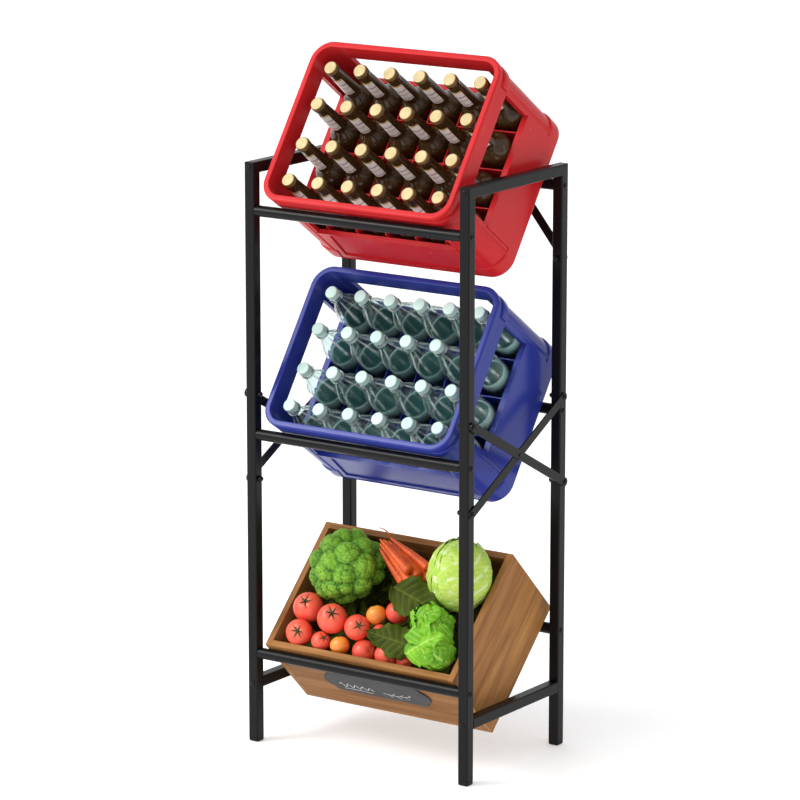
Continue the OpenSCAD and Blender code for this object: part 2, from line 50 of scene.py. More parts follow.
def seat(deg, b, h, tier):
    """Middle of the rim plane (y, z in mm) of a crate that leans on a tier's two bars."""
    t = math.radians(deg)
    n, a = (math.cos(t), math.sin(t)), (-math.sin(t), math.cos(t))
    zf = 164 + 400 * tier
    p = -n[0] * LY + n[1] * zf + b / 2 + BAR_R + GAP
    q = a[0] * LY + a[1] * (zf + 48) + h + BAR_R + GAP
    return p * n[0] + q * a[0], p * n[1] + q * a[1]


def tilted(c, deg):
    """Matrix of a leaning crate: X along it, Y up its width, Z out of its mouth; origin in its rim plane."""
    t = math.radians(deg)
    m = Matrix.Identity(4)
    m.col[1][:3] = (0, math.cos(t), math.sin(t))
    m.col[2][:3] = (0, -math.sin(t), math.cos(t))
    m.translation = (0, (c[0] + YO) * MM, c[1] * MM)
    return m


red_c = seat(TILT, CRATE_B, CRATE_H, 2)
YO = -(2 * red_c[0] + CRATE_H * math.sin(math.radians(TILT)) - 2.0 * math.cos(math.radians(TILT))) / 2
RED = tilted(red_c, TILT)
BLUE = tilted(seat(TILT, CRATE_B, CRATE_H, 1), TILT)
WOOD = tilted(seat(45.0, 264.0, 176.0, 0), 45.0)
CELLS = [(i * 62.9, y) for y in (-110.25, -38.95, 38.95, 110.25) for i in (-2.5, -1.5, -0.5, 0.5, 1.5, 2.5)]
BASE = -CRATE_H + 8.1  # bottle bottoms, in mm from the rim plane

# ------------------------------------------------------------------ camera

cam_data = bpy.data.cameras.new("camera")
cam_data.lens = 186.02
cam_data.sensor_width = 36.0
cam_data.clip_end = 200.0
cam = bpy.data.objects.new("camera", cam_data)
scene.collection.objects.link(cam)
cam.location = (4.0499, -5.81608 + YO * MM, 2.22335)
cam.rotation_mode = "QUATERNION"
cam.rotation_quaternion = Vector((0.5587, -0.7998, 0.2197)).to_track_quat("Z", "Y")
scene.camera = cam
scene.view_settings.view_transform = "Standard"
scene.view_settings.look = "None"

# ------------------------------------------------------------------ material helpers


def lin(c):
    c = c / 255.0
    return c / 12.92 if c <= 0.04045 else ((c + 0.055) / 1.055) ** 2.4


def rgb(r, g, b):
    return (lin(r), lin(g), lin(b), 1.0)


class Mat:
    def __init__(self, name):
        self.m = bpy.data.materials.new(name)
        self.m.use_nodes = True
        self.t = self.m.node_tree
        self.b = self.t.nodes["Principled BSDF"]

    def node(self, kind, **props):
        n = self.t.nodes.new(kind)
        for k, v in props.items():
            setattr(n, k, v)
        return n

    def put(self, sock, v):
        if isinstance(v, bpy.types.NodeSocket):
            self.t.links.new(v, sock)
        else:
            sock.default_value = v

    def set(self, **kw):
        for k, v in kw.items():
            self.put(self.b.inputs[k.replace("_", " ")], v)

    def coords(self, loc=(0, 0, 0), rot=(0, 0, 0), scale=(1, 1, 1)):
        tc = self.node("ShaderNodeTexCoord")
        mp = self.node("ShaderNodeMapping", vector_type="TEXTURE")
        mp.inputs["Location"].default_value = loc
        mp.inputs["Rotation"].default_value = rot
        mp.inputs["Scale"].default_value = scale
        self.t.links.new(tc.outputs["Object"], mp.inputs["Vector"])
        return mp.outputs[0]

    def noise(self, vec, scale, detail=3.0, rough=0.5, distort=0.0):
        n = self.node("ShaderNodeTexNoise")
        self.put(n.inputs["Vector"], vec)
        n.inputs["Scale"].default_value = scale
        n.inputs["Detail"].default_value = detail
        n.inputs["Roughness"].default_value = rough
        n.inputs["Distortion"].default_value = distort
        return n.outputs[0]

    def voronoi(self, vec, scale, feature="F1"):
        n = self.node("ShaderNodeTexVoronoi", feature=feature)
        self.put(n.inputs["Vector"], vec)
        n.inputs["Scale"].default_value = scale
        return n.outputs["Distance"]

    def vec(self, x, y, z):
        n = self.node("ShaderNodeCombineXYZ")
        for k, v in enumerate((x, y, z)):
            self.put(n.inputs[k], v)
        return n.outputs[0]

    def attr(self, name):
        return self.node("ShaderNodeAttribute", attribute_name=name).outputs["Fac"]

    def math(self, op, a, b=0.0, clamp=False):
        n = self.node("ShaderNodeMath", operation=op, use_clamp=clamp)
        self.put(n.inputs[0], a)
        self.put(n.inputs[1], b)
        return n.outputs[0]

    def ramp(self, fac, stops, ease="LINEAR"):
        n = self.node("ShaderNodeValToRGB")
        self.put(n.inputs[0], fac)
        r = n.color_ramp
        r.interpolation = ease
        while len(r.elements) < len(stops):
            r.elements.new(0.5)
        for e, (p, c) in zip(r.elements, stops):
            e.position = p
            e.color = c if isinstance(c, tuple) else (c, c, c, 1.0)
        return n.outputs[0]

    def range(self, fac, lo, hi, a=0.0, b=1.0):
        n = self.node("ShaderNodeMapRange")
        self.put(n.inputs["Value"], fac)
        n.inputs["From Min"].default_value = a
        n.inputs["From Max"].default_value = b
        n.inputs["To Min"].default_value = lo
        n.inputs["To Max"].default_value = hi
        return n.outputs[0]

    def mix(self, fac, a, b, blend="MIX"):
        n = self.node("ShaderNodeMix", data_type="RGBA", blend_type=blend)
        self.put(n.inputs[0], fac)
        self.put(n.inputs[6], a)
        self.put(n.inputs[7], b)
        return n.outputs[2]

    def bump(self, height, strength, dist, normal=None):
        n = self.node("ShaderNodeBump")
        n.inputs["Strength"].default_value = strength
        n.inputs["Distance"].default_value = dist
        self.put(n.inputs["Height"], height)
        if normal is not None:
            self.put(n.inputs["Normal"], normal)
        return n.outputs[0]


def paint(mat, *nodes):
    for n in nodes:
        o = NODE[n]
        o.data.materials.clear()
        o.data.materials.append(mat)


# ------------------------------------------------------------------ mesh helpers


def make(name, verts, faces, mat, body, m=None, replaces=(), smooth=True, attrs=None):
    me = bpy.data.meshes.new(name)
    verts = np.asarray(verts, float)
    if m is not None:
        t = np.array(m)
        verts = verts @ t[:3, :3].T + t[:3, 3]
    me.from_pydata(verts.tolist(), [], [tuple(int(i) for i in f) for f in faces])
    me.update()
    if smooth:
        me.polygons.foreach_set("use_smooth", [True] * len(me.polygons))
    for k, v in (attrs or {}).items():
        a = me.attributes.new(k, "FLOAT", "POINT")
        a.data.foreach_set("value", np.asarray(v, np.float32))
    me.materials.append(mat)
    o = bpy.data.objects.new(name, me)
    scene.collection.objects.link(o)
    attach(o, body)
    if replaces:
        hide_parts(*replaces)
    return o


def lathe(profile, seg, flute=None):
    """Closed turned body from (r, z) points that start and end on the axis, in mm."""
    prof = np.asarray(profile, float)
    th = np.arange(seg) * 2 * math.pi / seg
    verts, faces, rings = [], [], []
    for k, (r, z) in enumerate(prof):
        if r < 1e-6:
            rings.append([len(verts)])
            verts.append((0, 0, z))
        else:
            rings.append(list(range(len(verts), len(verts) + seg)))
            rr = np.full(seg, r)
            if flute is not None:
                rr = rr + flute(k, th)
            for a, q in zip(th, rr):
                verts.append((q * math.cos(a), q * math.sin(a), z))
    for a, b in zip(rings, rings[1:]):
        for i in range(seg):
            j = (i + 1) % seg
            if len(a) == 1:
                faces.append((a[0], b[j], b[i]))
            elif len(b) == 1:
                faces.append((a[i], a[j], b[0]))
            else:
                faces.append((a[i], a[j], b[j], b[i]))
    return np.array(verts), faces


def repeat(verts, faces, offsets, turns=None):
    vs, fs, n = [], [], 0
    for k, off in enumerate(offsets):
        v = verts
        if turns is not None:
            c, s = math.cos(turns[k]), math.sin(turns[k])
            v = np.stack([c * v[:, 0] - s * v[:, 1], s * v[:, 0] + c * v[:, 1], v[:, 2]], 1)
        vs.append(v + np.asarray(off, float))
        fs += [tuple(i + n for i in f) for f in faces]
        n += len(verts)
    return np.concatenate(vs), fs


def grid(nu, nv, fn):
    """Open sheet over u, v in 0..1; fn takes arrays and gives (verts, {attr})."""
    u, v = np.meshgrid(np.linspace(0, 1, nu), np.linspace(0, 1, nv), indexing="ij")
    verts, attrs = fn(u.ravel(), v.ravel())
    faces = []
    for i in range(nu - 1):
        for j in range(nv - 1):
            a = i * nv + j
            faces.append((a, a + nv, a + nv + 1, a + 1))
    return verts, faces, attrs


def tube(nu, nv, fn):
    """Closed round body over u in 0..1 along it and v in 0..1 round it, capped at both ends."""
    u, v = np.meshgrid(np.linspace(0, 1, nu), np.arange(nv) / nv, indexing="ij")
    verts, attrs = fn(u.ravel(), v.ravel())
    faces = []
    for i in range(nu - 1):
        for j in range(nv):
            a, b = i * nv + j, i * nv + (j + 1) % nv
            faces.append((a, b, b + nv, a + nv))
    faces.append(tuple(reversed(range(nv))))
    faces.append(tuple((nu - 1) * nv + j for j in range(nv)))
    return verts, faces, attrs


def join(parts):
    vs, fs, at, n = [], [], {}, 0
    for v, f, a in parts:
        vs.append(v)
        fs += [tuple(i + n for i in q) for q in f]
        for k in a:
            at.setdefault(k, []).append(np.asarray(a[k], float))
        n += len(v)
    return np.concatenate(vs), fs, {k: np.concatenate(x) for k, x in at.items()}


def smoothstep(x, a, b):
    t = np.clip((x - a) / (b - a), 0, 1)
    return t * t * (3 - 2 * t)


def waves(p, freq, seed, n=7):
    """Smooth pseudo-noise in about -1..1 from a few sine waves."""
    g = np.random.default_rng(seed)
    d = g.normal(size=(n, 3))
    d /= np.linalg.norm(d, axis=1)[:, None]
    f = freq * (0.7 + 0.8 * g.random(n))
    ph = g.random(n) * 6.283
    return np.sin(p @ (d * f[:, None]).T + ph).sum(1) / math.sqrt(n) / 1.2


def fib(n):
    i = np.arange(n) + 0.5
    ph = np.arccos(1 - 2 * i / n)
    th = math.pi * (1 + 5 ** 0.5) * i
    return np.stack([np.cos(th) * np.sin(ph), np.sin(th) * np.sin(ph), np.cos(ph)], 1)


def ico(sub):
    bm = bmesh.new()
    bmesh.ops.create_icosphere(bm, subdivisions=sub, radius=1.0)
    v = np.array([x.co for x in bm.verts])
    f = [tuple(w.index for w in x.verts) for x in bm.faces]
    bm.free()
    return v / np.linalg.norm(v, axis=1)[:, None], f


def soften(o, width, angle=35.0, seg=3, long_only=False):
    """Rounds a CAD part's sharp edges with modifiers; its mesh stays as it is."""
    name = "weld_long_edges" if long_only else "weld_edges"
    g = bpy.data.node_groups.get(name)
    if g is None:
        g = bpy.data.node_groups.new(name, "GeometryNodeTree")
        g.interface.new_socket("Geometry", in_out="INPUT", socket_type="NodeSocketGeometry")
        g.interface.new_socket("Geometry", in_out="OUTPUT", socket_type="NodeSocketGeometry")
        gi, go = g.nodes.new("NodeGroupInput"), g.nodes.new("NodeGroupOutput")
        rm = g.nodes.new("GeometryNodeRemoveAttribute")
        rm.inputs["Name"].default_value = "custom_normal"
        mg = g.nodes.new("GeometryNodeMergeByDistance")
        mg.inputs["Distance"].default_value = 1e-5
        sm = g.nodes.new("GeometryNodeSetShadeSmooth")
        sm.domain = "FACE"
        se = g.nodes.new("GeometryNodeSetShadeSmooth")
        se.domain = "EDGE"
        ea = g.nodes.new("GeometryNodeInputMeshEdgeAngle")
        cmp = g.nodes.new("FunctionNodeCompare")
        cmp.data_type = "FLOAT"
        cmp.operation = "LESS_THAN"
        cmp.inputs[1].default_value = math.radians(32)
        g.links.new(ea.outputs[0], cmp.inputs[0])
        g.links.new(cmp.outputs[0], se.inputs["Shade Smooth"])
        chain = [gi, rm, mg, sm, se, go]
        if long_only:  # nail holes and other short edges stay as they are
            ev = g.nodes.new("GeometryNodeInputMeshEdgeVertices")
            ds = g.nodes.new("ShaderNodeVectorMath")
            ds.operation = "DISTANCE"
            g.links.new(ev.outputs["Position 1"], ds.inputs[0])
            g.links.new(ev.outputs["Position 2"], ds.inputs[1])
            st = g.nodes.new("GeometryNodeStoreNamedAttribute")
            st.data_type = "FLOAT"
            st.domain = "EDGE"
            st.inputs["Name"].default_value = "bevel_weight_edge"
            both = g.nodes.new("FunctionNodeBooleanMath")
            both.operation = "AND"
            for k, (out, lim) in enumerate(((ds.outputs["Value"], 0.012), (ea.outputs[0], math.radians(angle)))):
                c = g.nodes.new("FunctionNodeCompare")
                c.data_type = "FLOAT"
                c.operation = "GREATER_THAN"
                c.inputs[1].default_value = lim
                g.links.new(out, c.inputs[0])
                g.links.new(c.outputs[0], both.inputs[k])
            g.links.new(both.outputs[0], st.inputs["Value"])
            chain.insert(5, st)
        for a, b in zip(chain, chain[1:]):
            g.links.new(a.outputs[0], b.inputs[0])
    w = o.modifiers.new("weld", "NODES")
    w.node_group = g
    b = o.modifiers.new("edges", "BEVEL")
    b.width = width
    b.segments = seg
    b.limit_method = "WEIGHT" if long_only else "ANGLE"
    b.angle_limit = math.radians(angle)
    b.use_clamp_overlap = True
    b.harden_normals = True
    b.miter_outer = "MITER_ARC"


# ------------------------------------------------------------------ materials: stand


def powder_coat(name, base, rough, grain, spec=0.4):
    m = Mat(name)
    c = m.coords()
    big = m.noise(c, 7, 2)
    fine = m.noise(c, 900, 2)
    col = m.ramp(big, [(0.3, tuple(0.82 * x for x in base[:3]) + (1,)), (0.7, base)])
    m.set(Base_Color=col, Roughness=m.range(m.noise(c, 60, 3), rough - 0.06, rough + 0.07))
    m.set(Normal=m.bump(fine, grain, 0.00025))
    m.b.inputs["Specular IOR Level"].default_value = spec
    return m.m


COAT = powder_coat("powder_coat_black", rgb(17, 17, 18), 0.30, 0.08, 0.16)
BOLT = powder_coat("black_screws", rgb(13, 13, 14), 0.24, 0.05, 0.22)
FOOT = powder_coat("black_foot_plastic", rgb(18, 18, 19), 0.45, 0.2, 0.2)
FRAME_NODES = [n for n in NODE if n.endswith(("_leg", "_rail", "_bar", "_brace"))]
paint(COAT, *FRAME_NODES)
paint(BOLT, "bar_bolts", "rail_bolts", "rail_screws", "brace_bolts", "brace_cap_nuts", "brace_spacers",
      "brace_rivets", "corner_brace_bolts", "corner_brace_nuts")
paint(FOOT, "feet", "corner_connectors")

# ------------------------------------------------------------------ materials: bottle crates


def moulded(name, base, deep, rough, spec):
    m = Mat(name)
    c = m.coords()
    flow = m.noise(c, 5, 3, 0.5, 0.6)
    col = m.ramp(flow, [(0.25, deep), (0.75, base)])
    m.set(Base_Color=col, Roughness=m.range(m.noise(c, 34, 4), rough - 0.04, rough + 0.05))
    m.set(Normal=m.bump(m.noise(c, 420, 2), 0.06, 0.0003))
    m.b.inputs["IOR"].default_value = 1.5
    m.b.inputs["Specular IOR Level"].default_value = spec
    return m.m


RED_P = moulded("red_moulded_plastic", rgb(198, 36, 40), rgb(188, 31, 35), 0.25, 0.14)
BLUE_P = moulded("blue_moulded_plastic", rgb(43, 55, 144), rgb(38, 49, 132), 0.22, 0.21)
paint(RED_P, "red_crate_shell", "red_long_dividers", "red_cross_dividers")
paint(BLUE_P, "blue_crate_shell", "blue_long_dividers", "blue_cross_dividers")
for n in ("red_crate_shell", "blue_crate_shell"):
    soften(NODE[n], 0.9 * MM)

# ------------------------------------------------------------------ beer bottles


def curve_profile(points, per=5):
    """Smooth profile through (r, z) points: Catmull-Rom, with radii kept at zero or more."""
    p = np.asarray(points, float)
    out = []
    for i in range(len(p) - 1):
        p0, p1, p2, p3 = p[max(i - 1, 0)], p[i], p[i + 1], p[min(i + 2, len(p) - 1)]
        for t in np.arange(per) / per:
            q = 0.5 * (2 * p1 + (p2 - p0) * t + (2 * p0 - 5 * p1 + 4 * p2 - p3) * t * t + (3 * p1 - p0 - 3 * p2 + p3) * t ** 3)
            out.append((max(q[0], 0.0), q[1]))
    out.append(tuple(p[-1]))
    return out


def shoulder(r0, z0, r1, z1, k):
    return [(r1 + (r0 - r1) * (1 + math.cos(math.pi * i / k)) / 2, z0 + (z1 - z0) * i / k) for i in range(k + 1)]


def dome(r0, z0, r1, z1, k):
    return [(r1 + (r0 - r1) * (1 + math.cos(math.pi * (i / k) ** 1.6)) / 2, z0 + (z1 - z0) * i / k) for i in range(k + 1)]


BEER_R, BEER_H = 29.5, 213.5
beer_outer = ([(0, 2.2), (10, 1.4), (19, 0.2), (23, 0.0), (26, 0.5), (28.2, 1.9), (29.3, 4.2), (BEER_R, 7)]
              + dome(BEER_R, 104, 14.6, 132, 16)
              + [(13.9, 150), (12.95, 178), (12.2, 199.5), (12.4, 200.7), (12.9, 201.9), (12.9, 205.1), (12.4, 206.3), (11.5, 207.1), (11.5, 212.9), (11.0, 213.5), (0, 213.5)])
v, f = lathe(beer_outer, 40)
v, f = repeat(v, f, [(x, y, BASE) for x, y in CELLS])

g = Mat("brown_bottle_glass")
gc = g.coords()
g.set(Base_Color=g.ramp(g.noise(gc, 24, 2), [(0.3, (0.052, 0.025, 0.008, 1)), (0.7, (0.096, 0.050, 0.018, 1))]),
      Roughness=g.range(g.noise(gc, 90, 2), 0.02, 0.07))
g.set(Normal=g.bump(g.noise(gc, 55, 2), 0.12, 0.0008))
g.b.inputs["Transmission Weight"].default_value = 0.35
g.b.inputs["IOR"].default_value = 1.42
g.b.inputs["Specular IOR Level"].default_value = 0.35
g.b.inputs["Coat Weight"].default_value = 0.12
g.b.inputs["Coat Roughness"].default_value = 0.04
beer = make("beer_bottle_glass", v * MM, f, g.m, "beer_bottles_load", RED, ["beer_bottles"])

core = [(0, 4.0), (20, 4.0), (25.6, 6.5)] + dome(26.0, 102, 11.0, 132, 14) + [(10.6, 152), (9.6, 190), (0, 190)]
v, f = lathe(core, 32)
v, f = repeat(v, f, [(x, y, BASE) for x, y in CELLS])
g = Mat("dark_beer")
gc = g.coords()
g.set(Base_Color=g.ramp(g.noise(gc, 26, 4, 0.6), [(0.30, rgb(40, 25, 14)), (0.55, rgb(78, 54, 34)), (0.75, rgb(118, 88, 60))]),
      Roughness=g.range(g.noise(gc, 30, 2), 0.12, 0.3))
make("beer_fill", v * MM, f, g.m, "beer_bottles_load", RED)

# neck labels: plain paper band on the front of each neck
R0 = lambda z: np.interp(z, [132, 150, 178, 199.5], [14.6, 13.9, 12.95, 12.2])


def label(u, s):
    ang = math.radians(-118) + (s - 0.5) * math.radians(176)
    z = 140.0 + u * 48
    r = R0(z) + 0.22
    return np.stack([r * np.cos(ang), r * np.sin(ang), z], 1), {"along": u, "across": s}


v, f, at = grid(16, 22, label)
n_at = len(v)
v2, f2 = repeat(v, f, [(x, y, BASE) for x, y in CELLS], [0.10 * math.sin(7.3 * k) for k in range(24)])
g = Mat("neck_label_paper")
gc = g.coords()
al = g.attr("along")
paper, rose = rgb(246, 238, 232), rgb(214, 186, 184)
band = g.ramp(al, [(0.0, paper), (0.10, rgb(150, 122, 112)), (0.13, paper), (0.36, rose), (0.42, paper), (0.60, rgb(168, 138, 140)), (0.66, paper),
                   (0.92, rgb(186, 150, 84))], "CONSTANT")
g.set(Base_Color=g.mix(g.math("MULTIPLY", g.noise(gc, 140, 4), 0.22), band, rgb(190, 178, 172)), Roughness=g.range(g.noise(gc, 200, 2), 0.35, 0.55))
g.set(Normal=g.bump(g.noise(gc, 800, 2), 0.2, 0.0002))
lab = make("neck_labels", v2 * MM, f2, g.m, "beer_bottles_load", RED,
           attrs={k: np.tile(at[k], 24) for k in at})
sol = lab.modifiers.new("paper", "SOLIDIFY")
sol.thickness = 0.12 * MM
sol.offset = 1.0

# crown caps with a crimped skirt; the skirt is painted darker than the top face as painted shade
cap_prof = [(0, 213.65), (8, 213.65), (11.5, 213.4), (11.75, 210.5), (11.8, 207.7), (13.2, 207.4), (13.8, 207.8), (13.5, 209.1), (12.9, 211.1), (12.35, 213.1),
            (11.9, 214.4), (11.2, 215.1), (10.2, 215.3), (8.8, 215.15), (6, 215.2), (0, 215.3)]
amp = [0, 0, 0, 0, 0, 0.45, 0.55, 0.5, 0.32, 0.12, 0, 0, 0, 0, 0, 0]
v, f = lathe(cap_prof, 84, lambda k, th: -amp[k] + amp[k] * np.cos(21 * th))
v, f = repeat(v, f, [(x, y, BASE) for x, y in CELLS], [0.37 * k for k in range(24)])
g = Mat("gold_crown_metal")
gc = g.coords()
# painted shade: lighter gold on the top face, dark brown on the skirt of the same metal
face = g.ramp(g.noise(gc, 60, 4), [(0.3, rgb(170, 152, 106)), (0.7, rgb(190, 172, 126))])
skirt = g.ramp(g.noise(gc, 90, 3), [(0.3, rgb(96, 70, 30)), (0.7, rgb(136, 104, 52))])
g.set(Base_Color=g.mix(g.attr("face"), skirt, face), Roughness=g.range(g.noise(gc, 120, 3), 0.30, 0.46))
g.set(Normal=g.bump(g.noise(gc, 700, 2), 0.08, 0.0002))
g.b.inputs["Metallic"].default_value = 0.3
make("crimped_crown_caps", v * MM, f, g.m, "beer_bottles_load", RED, ["crown_caps"],
     attrs={"face": smoothstep(v[:, 2] - BASE, 213.7, 215.0)})

# ------------------------------------------------------------------ water bottles

WR, WH = 29.0, 213.5
water_outer = ([(0, 4.2), (6, 3.4), (12, 1.2), (17, 0.2), (21, 0.0), (25, 0.7), (27.6, 2.6), (28.7, 5), (WR, 8), (WR, 30)]
               + [(28.95, 44), (28.3, 47), (27.6, 49.5), (27.6, 52.5), (28.3, 55), (28.95, 58)]
               + [(28.95, 72), (28.3, 75), (27.6, 77.5), (27.6, 80.5), (28.3, 83), (28.95, 86), (WR, 96)]
               + dome(WR, 124, 11.0, 192, 22)
               + [(11.0, 194), (13.0, 194.8), (13.4, 195.5), (13.4, 197.1), (12.9, 197.9), (10.6, 198.4), (10.4, 199), (10.4, 213.1), (8.9, 213.1), (8.9, 197)]
               + dome(WR - 1.9, 124, 9.2, 191, 22)[::-1] + [(WR - 1.9, 96), (26.7, 86), (25.4, 80), (25.4, 77), (26.7, 70), (26.7, 58), (25.4, 52), (25.4, 49), (26.9, 40), (26.9, 9), (24.4, 5.2), (17, 3.6), (9, 5.6), (0, 7.0)])


def ribs(k, th):
    z = water_outer[k][1]
    if 126 < z < 188:  # flutes moulded into the dome
        w = math.sin(math.pi * (z - 126) / 62)
        return 1.2 * w * (np.cos(9 * th) - 1) * 0.5
    return 0 * th


v, f = lathe(water_outer, 72, ribs)
# painted highlight: pale streaks along the dome's flutes and rings at the shoulder foot, the neck and a rib, standing
# in for reflections
th = np.arctan2(v[:, 1], v[:, 0])
flute_glint = np.clip(np.cos(9 * th), 0, 1) ** 3 * smoothstep(v[:, 2], 126, 140) * smoothstep(-v[:, 2], -196, -182)
rings = np.exp(-((v[:, 2] - 121) / 3.0) ** 2) + 0.9 * np.exp(-((v[:, 2] - 196) / 2.5) ** 2) + 0.7 * np.exp(-((v[:, 2] - 58) / 2.0) ** 2)
streak = np.clip(flute_glint * (0.55 + 0.45 * np.sin(3 * th + 1)) + rings * (0.5 + 0.5 * np.sin(2 * th + 0.12 * v[:, 2])), 0, 1)
v, f = repeat(v, f, [(x, y, BASE) for x, y in CELLS], [0.31 * k for k in range(24)])
g = Mat("clear_bottle_plastic")
gc = g.coords()
# the painted highlight streaks make the plastic pale and nearly opaque there
painted_glint = g.math("MULTIPLY", g.attr("streak"), g.range(g.noise(gc, 90, 3, 0.6), 0.2, 1.0, 0.35, 0.65), True)
tint = g.ramp(g.noise(gc, 20, 2), [(0.3, (0.78, 0.91, 0.89, 1)), (0.7, (0.90, 0.97, 0.96, 1))])
g.set(Base_Color=g.mix(painted_glint, tint, rgb(232, 244, 241)), Roughness=g.range(g.noise(gc, 60, 2), 0.0, 0.03),
      Transmission_Weight=g.range(painted_glint, 0.985, 0.12))
g.set(Normal=g.bump(g.noise(gc, 42, 3, 0.5, 0.6), 0.30, 0.0018))
g.b.inputs["IOR"].default_value = 1.22
make("water_bottle_plastic", v * MM, f, g.m, "water_bottles_load", BLUE, ["water_bottles"], attrs={"streak": np.tile(streak, 24)})

# the water stands up to the foot of the dome; it is painted opaque dark teal as painted shade for the dark crate seen
# through the bottles, with a pale ring of painted highlight round its level
core = [(0, 9.5), (13, 9.0), (22.5, 11), (24.4, 16), (24.4, 84), (25.4, 88), (26.4, 96), (26.4, 118.2), (26.2, 119.4), (25.6, 119.6), (24.6, 118.6), (23.2, 118.1), (20, 118.0), (0, 118.0)]
v, f = lathe(core, 40)
level = smoothstep(v[:, 2], 116.5, 118.3) * smoothstep(np.hypot(v[:, 0], v[:, 1]), 22.6, 25.0)
v, f = repeat(v, f, [(x, y, BASE) for x, y in CELLS])
g = Mat("still_water")
gc = g.coords()
# painted shade: opaque dark teal water; the pale painted highlight ring is mixed in at its level
shade_teal = g.ramp(g.noise(gc, 30, 4, 0.6), [(0.28, rgb(14, 62, 62)), (0.58, rgb(22, 76, 74)), (0.84, rgb(58, 116, 112))])
g.set(Base_Color=g.mix(g.attr("level"), shade_teal, rgb(186, 216, 212)),
      Roughness=g.range(g.noise(gc, 30, 2), 0.30, 0.45))
g.b.inputs["Specular IOR Level"].default_value = 0.06
make("water_fill", v * MM, f, g.m, "water_bottles_load", BLUE, attrs={"level": np.tile(level, 24)})

# ribbed screw caps
sc_prof = [(0, 213.7), (10.7, 213.7), (10.8, 204.6), (11.6, 203.6), (12.1, 203.7), (12.1, 205.2), (11.8, 205.5), (12.05, 206.0), (12.0, 213.2),
           (11.7, 214.6), (11.0, 215.3), (10, 215.5), (0, 215.4)]
amp = [0, 0, 0, 0, 0, 0, 0, 0.22, 0.22, 0.05, 0, 0, 0]
v, f = lathe(sc_prof, 144, lambda k, th: -amp[k] + amp[k] * np.sign(np.cos(48 * th)))
v, f = repeat(v, f, [(x, y, BASE) for x, y in CELLS], [0.5 * k for k in range(24)])
g = Mat("mint_white_cap_plastic")
gc = g.coords()
g.set(Base_Color=g.ramp(g.noise(gc, 16, 2), [(0.3, rgb(180, 208, 201)), (0.7, rgb(198, 222, 215))]),
      Roughness=g.range(g.noise(gc, 90, 2), 0.32, 0.48))
g.set(Normal=g.bump(g.noise(gc, 600, 2), 0.05, 0.0002))
g.b.inputs["Subsurface Weight"].default_value = 0.15
g.b.inputs["Subsurface Scale"].default_value = 0.004
make("ribbed_screw_caps", v * MM, f, g.m, "water_bottles_load", BLUE, ["screw_caps"])

# ------------------------------------------------------------------ wooden crate


def walnut(name, along, seed, gain=1.0):
    """Boards seen in the crate's own axes; the grain runs along X or along Y of the crate."""
    m = Mat(name)
    loc = (seed, WOOD.translation.y + 0.31 * seed, WOOD.translation.z)
    rot = (math.radians(45), 0, 0)
    stretch = {"x": (9.0, 0.55, 0.55), "y": (0.55, 9.0, 0.55)}[along]
    c = m.coords(loc, rot, stretch)
    warp = m.noise(c, 6, 3, 0.55)
    rings = m.node("ShaderNodeTexNoise")
    m.put(rings.inputs["Vector"], c)
    rings.inputs["Scale"].default_value = 26
    rings.inputs["Detail"].default_value = 7
    rings.inputs["Roughness"].default_value = 0.62
    rings.inputs["Distortion"].default_value = 0.9
    streak = m.noise(m.coords(loc, rot, tuple(s * (2.2 if s > 1 else 1) for s in stretch)), 95, 4, 0.6)
    col = m.ramp(rings.outputs[0], [(0.22, rgb(96, 60, 30)), (0.42, rgb(138, 94, 52)), (0.58, rgb(162, 114, 64)), (0.80, rgb(182, 134, 80))])
    col = m.mix(m.range(warp, 0.0, 0.45, 0.35, 0.75), col, rgb(122, 78, 42))
    dark = m.ramp(streak, [(0.30, 1.0), (0.44, 0.0)])
    col = m.mix(m.math("MULTIPLY", dark, 0.45), col, rgb(82, 50, 25))
    if gain != 1.0:
        col = m.mix(1.0, col, (gain, gain, gain, 1.0), "MULTIPLY")
    m.set(Base_Color=col, Roughness=m.range(rings.outputs[0], 0.62, 0.46))
    h = m.math("ADD", m.math("MULTIPLY", streak, 0.6), m.math("MULTIPLY", rings.outputs[0], 0.4))
    m.set(Normal=m.bump(h, 0.22, 0.0005))
    m.b.inputs["Specular IOR Level"].default_value = 0.14
    return m.m


WX = walnut("walnut_along", "x", 0.0)
WX2 = walnut("walnut_along_back", "x", 0.37)
WY = walnut("walnut_ends", "y", 0.71, 1.22)
paint(WX, "wood_front_board")
paint(WX2, "wood_back_board", "wood_base_board")
paint(WY, "wood_left_board", "wood_right_board")
for n in ("wood_front_board", "wood_back_board", "wood_left_board", "wood_right_board", "wood_base_board"):
    soften(NODE[n], 0.7 * MM, long_only=True)
paint(powder_coat("steel_brads", rgb(120, 112, 104), 0.35, 0.05), "crate_brads")

g = Mat("slate")
gc = g.coords()
dust = g.ramp(g.noise(gc, 26, 6, 0.7, 0.8), [(0.40, 0.0), (0.75, 1.0)])
g.set(Base_Color=g.mix(g.math("MULTIPLY", dust, 0.5), rgb(60, 60, 62), rgb(84, 84, 86)), Roughness=g.range(g.noise(gc, 70, 4), 0.6, 0.85))
g.set(Normal=g.bump(g.noise(gc, 240, 5, 0.65), 0.35, 0.0005))
paint(g.m, "slate_plaque")
soften(NODE["slate_plaque"], 0.5 * MM)

# chalk: plain strokes, a wavy line, dashes and a sprig, drawn as thin ribbons on the slate
FACE_V, FACE_W = -135.0, -87.0


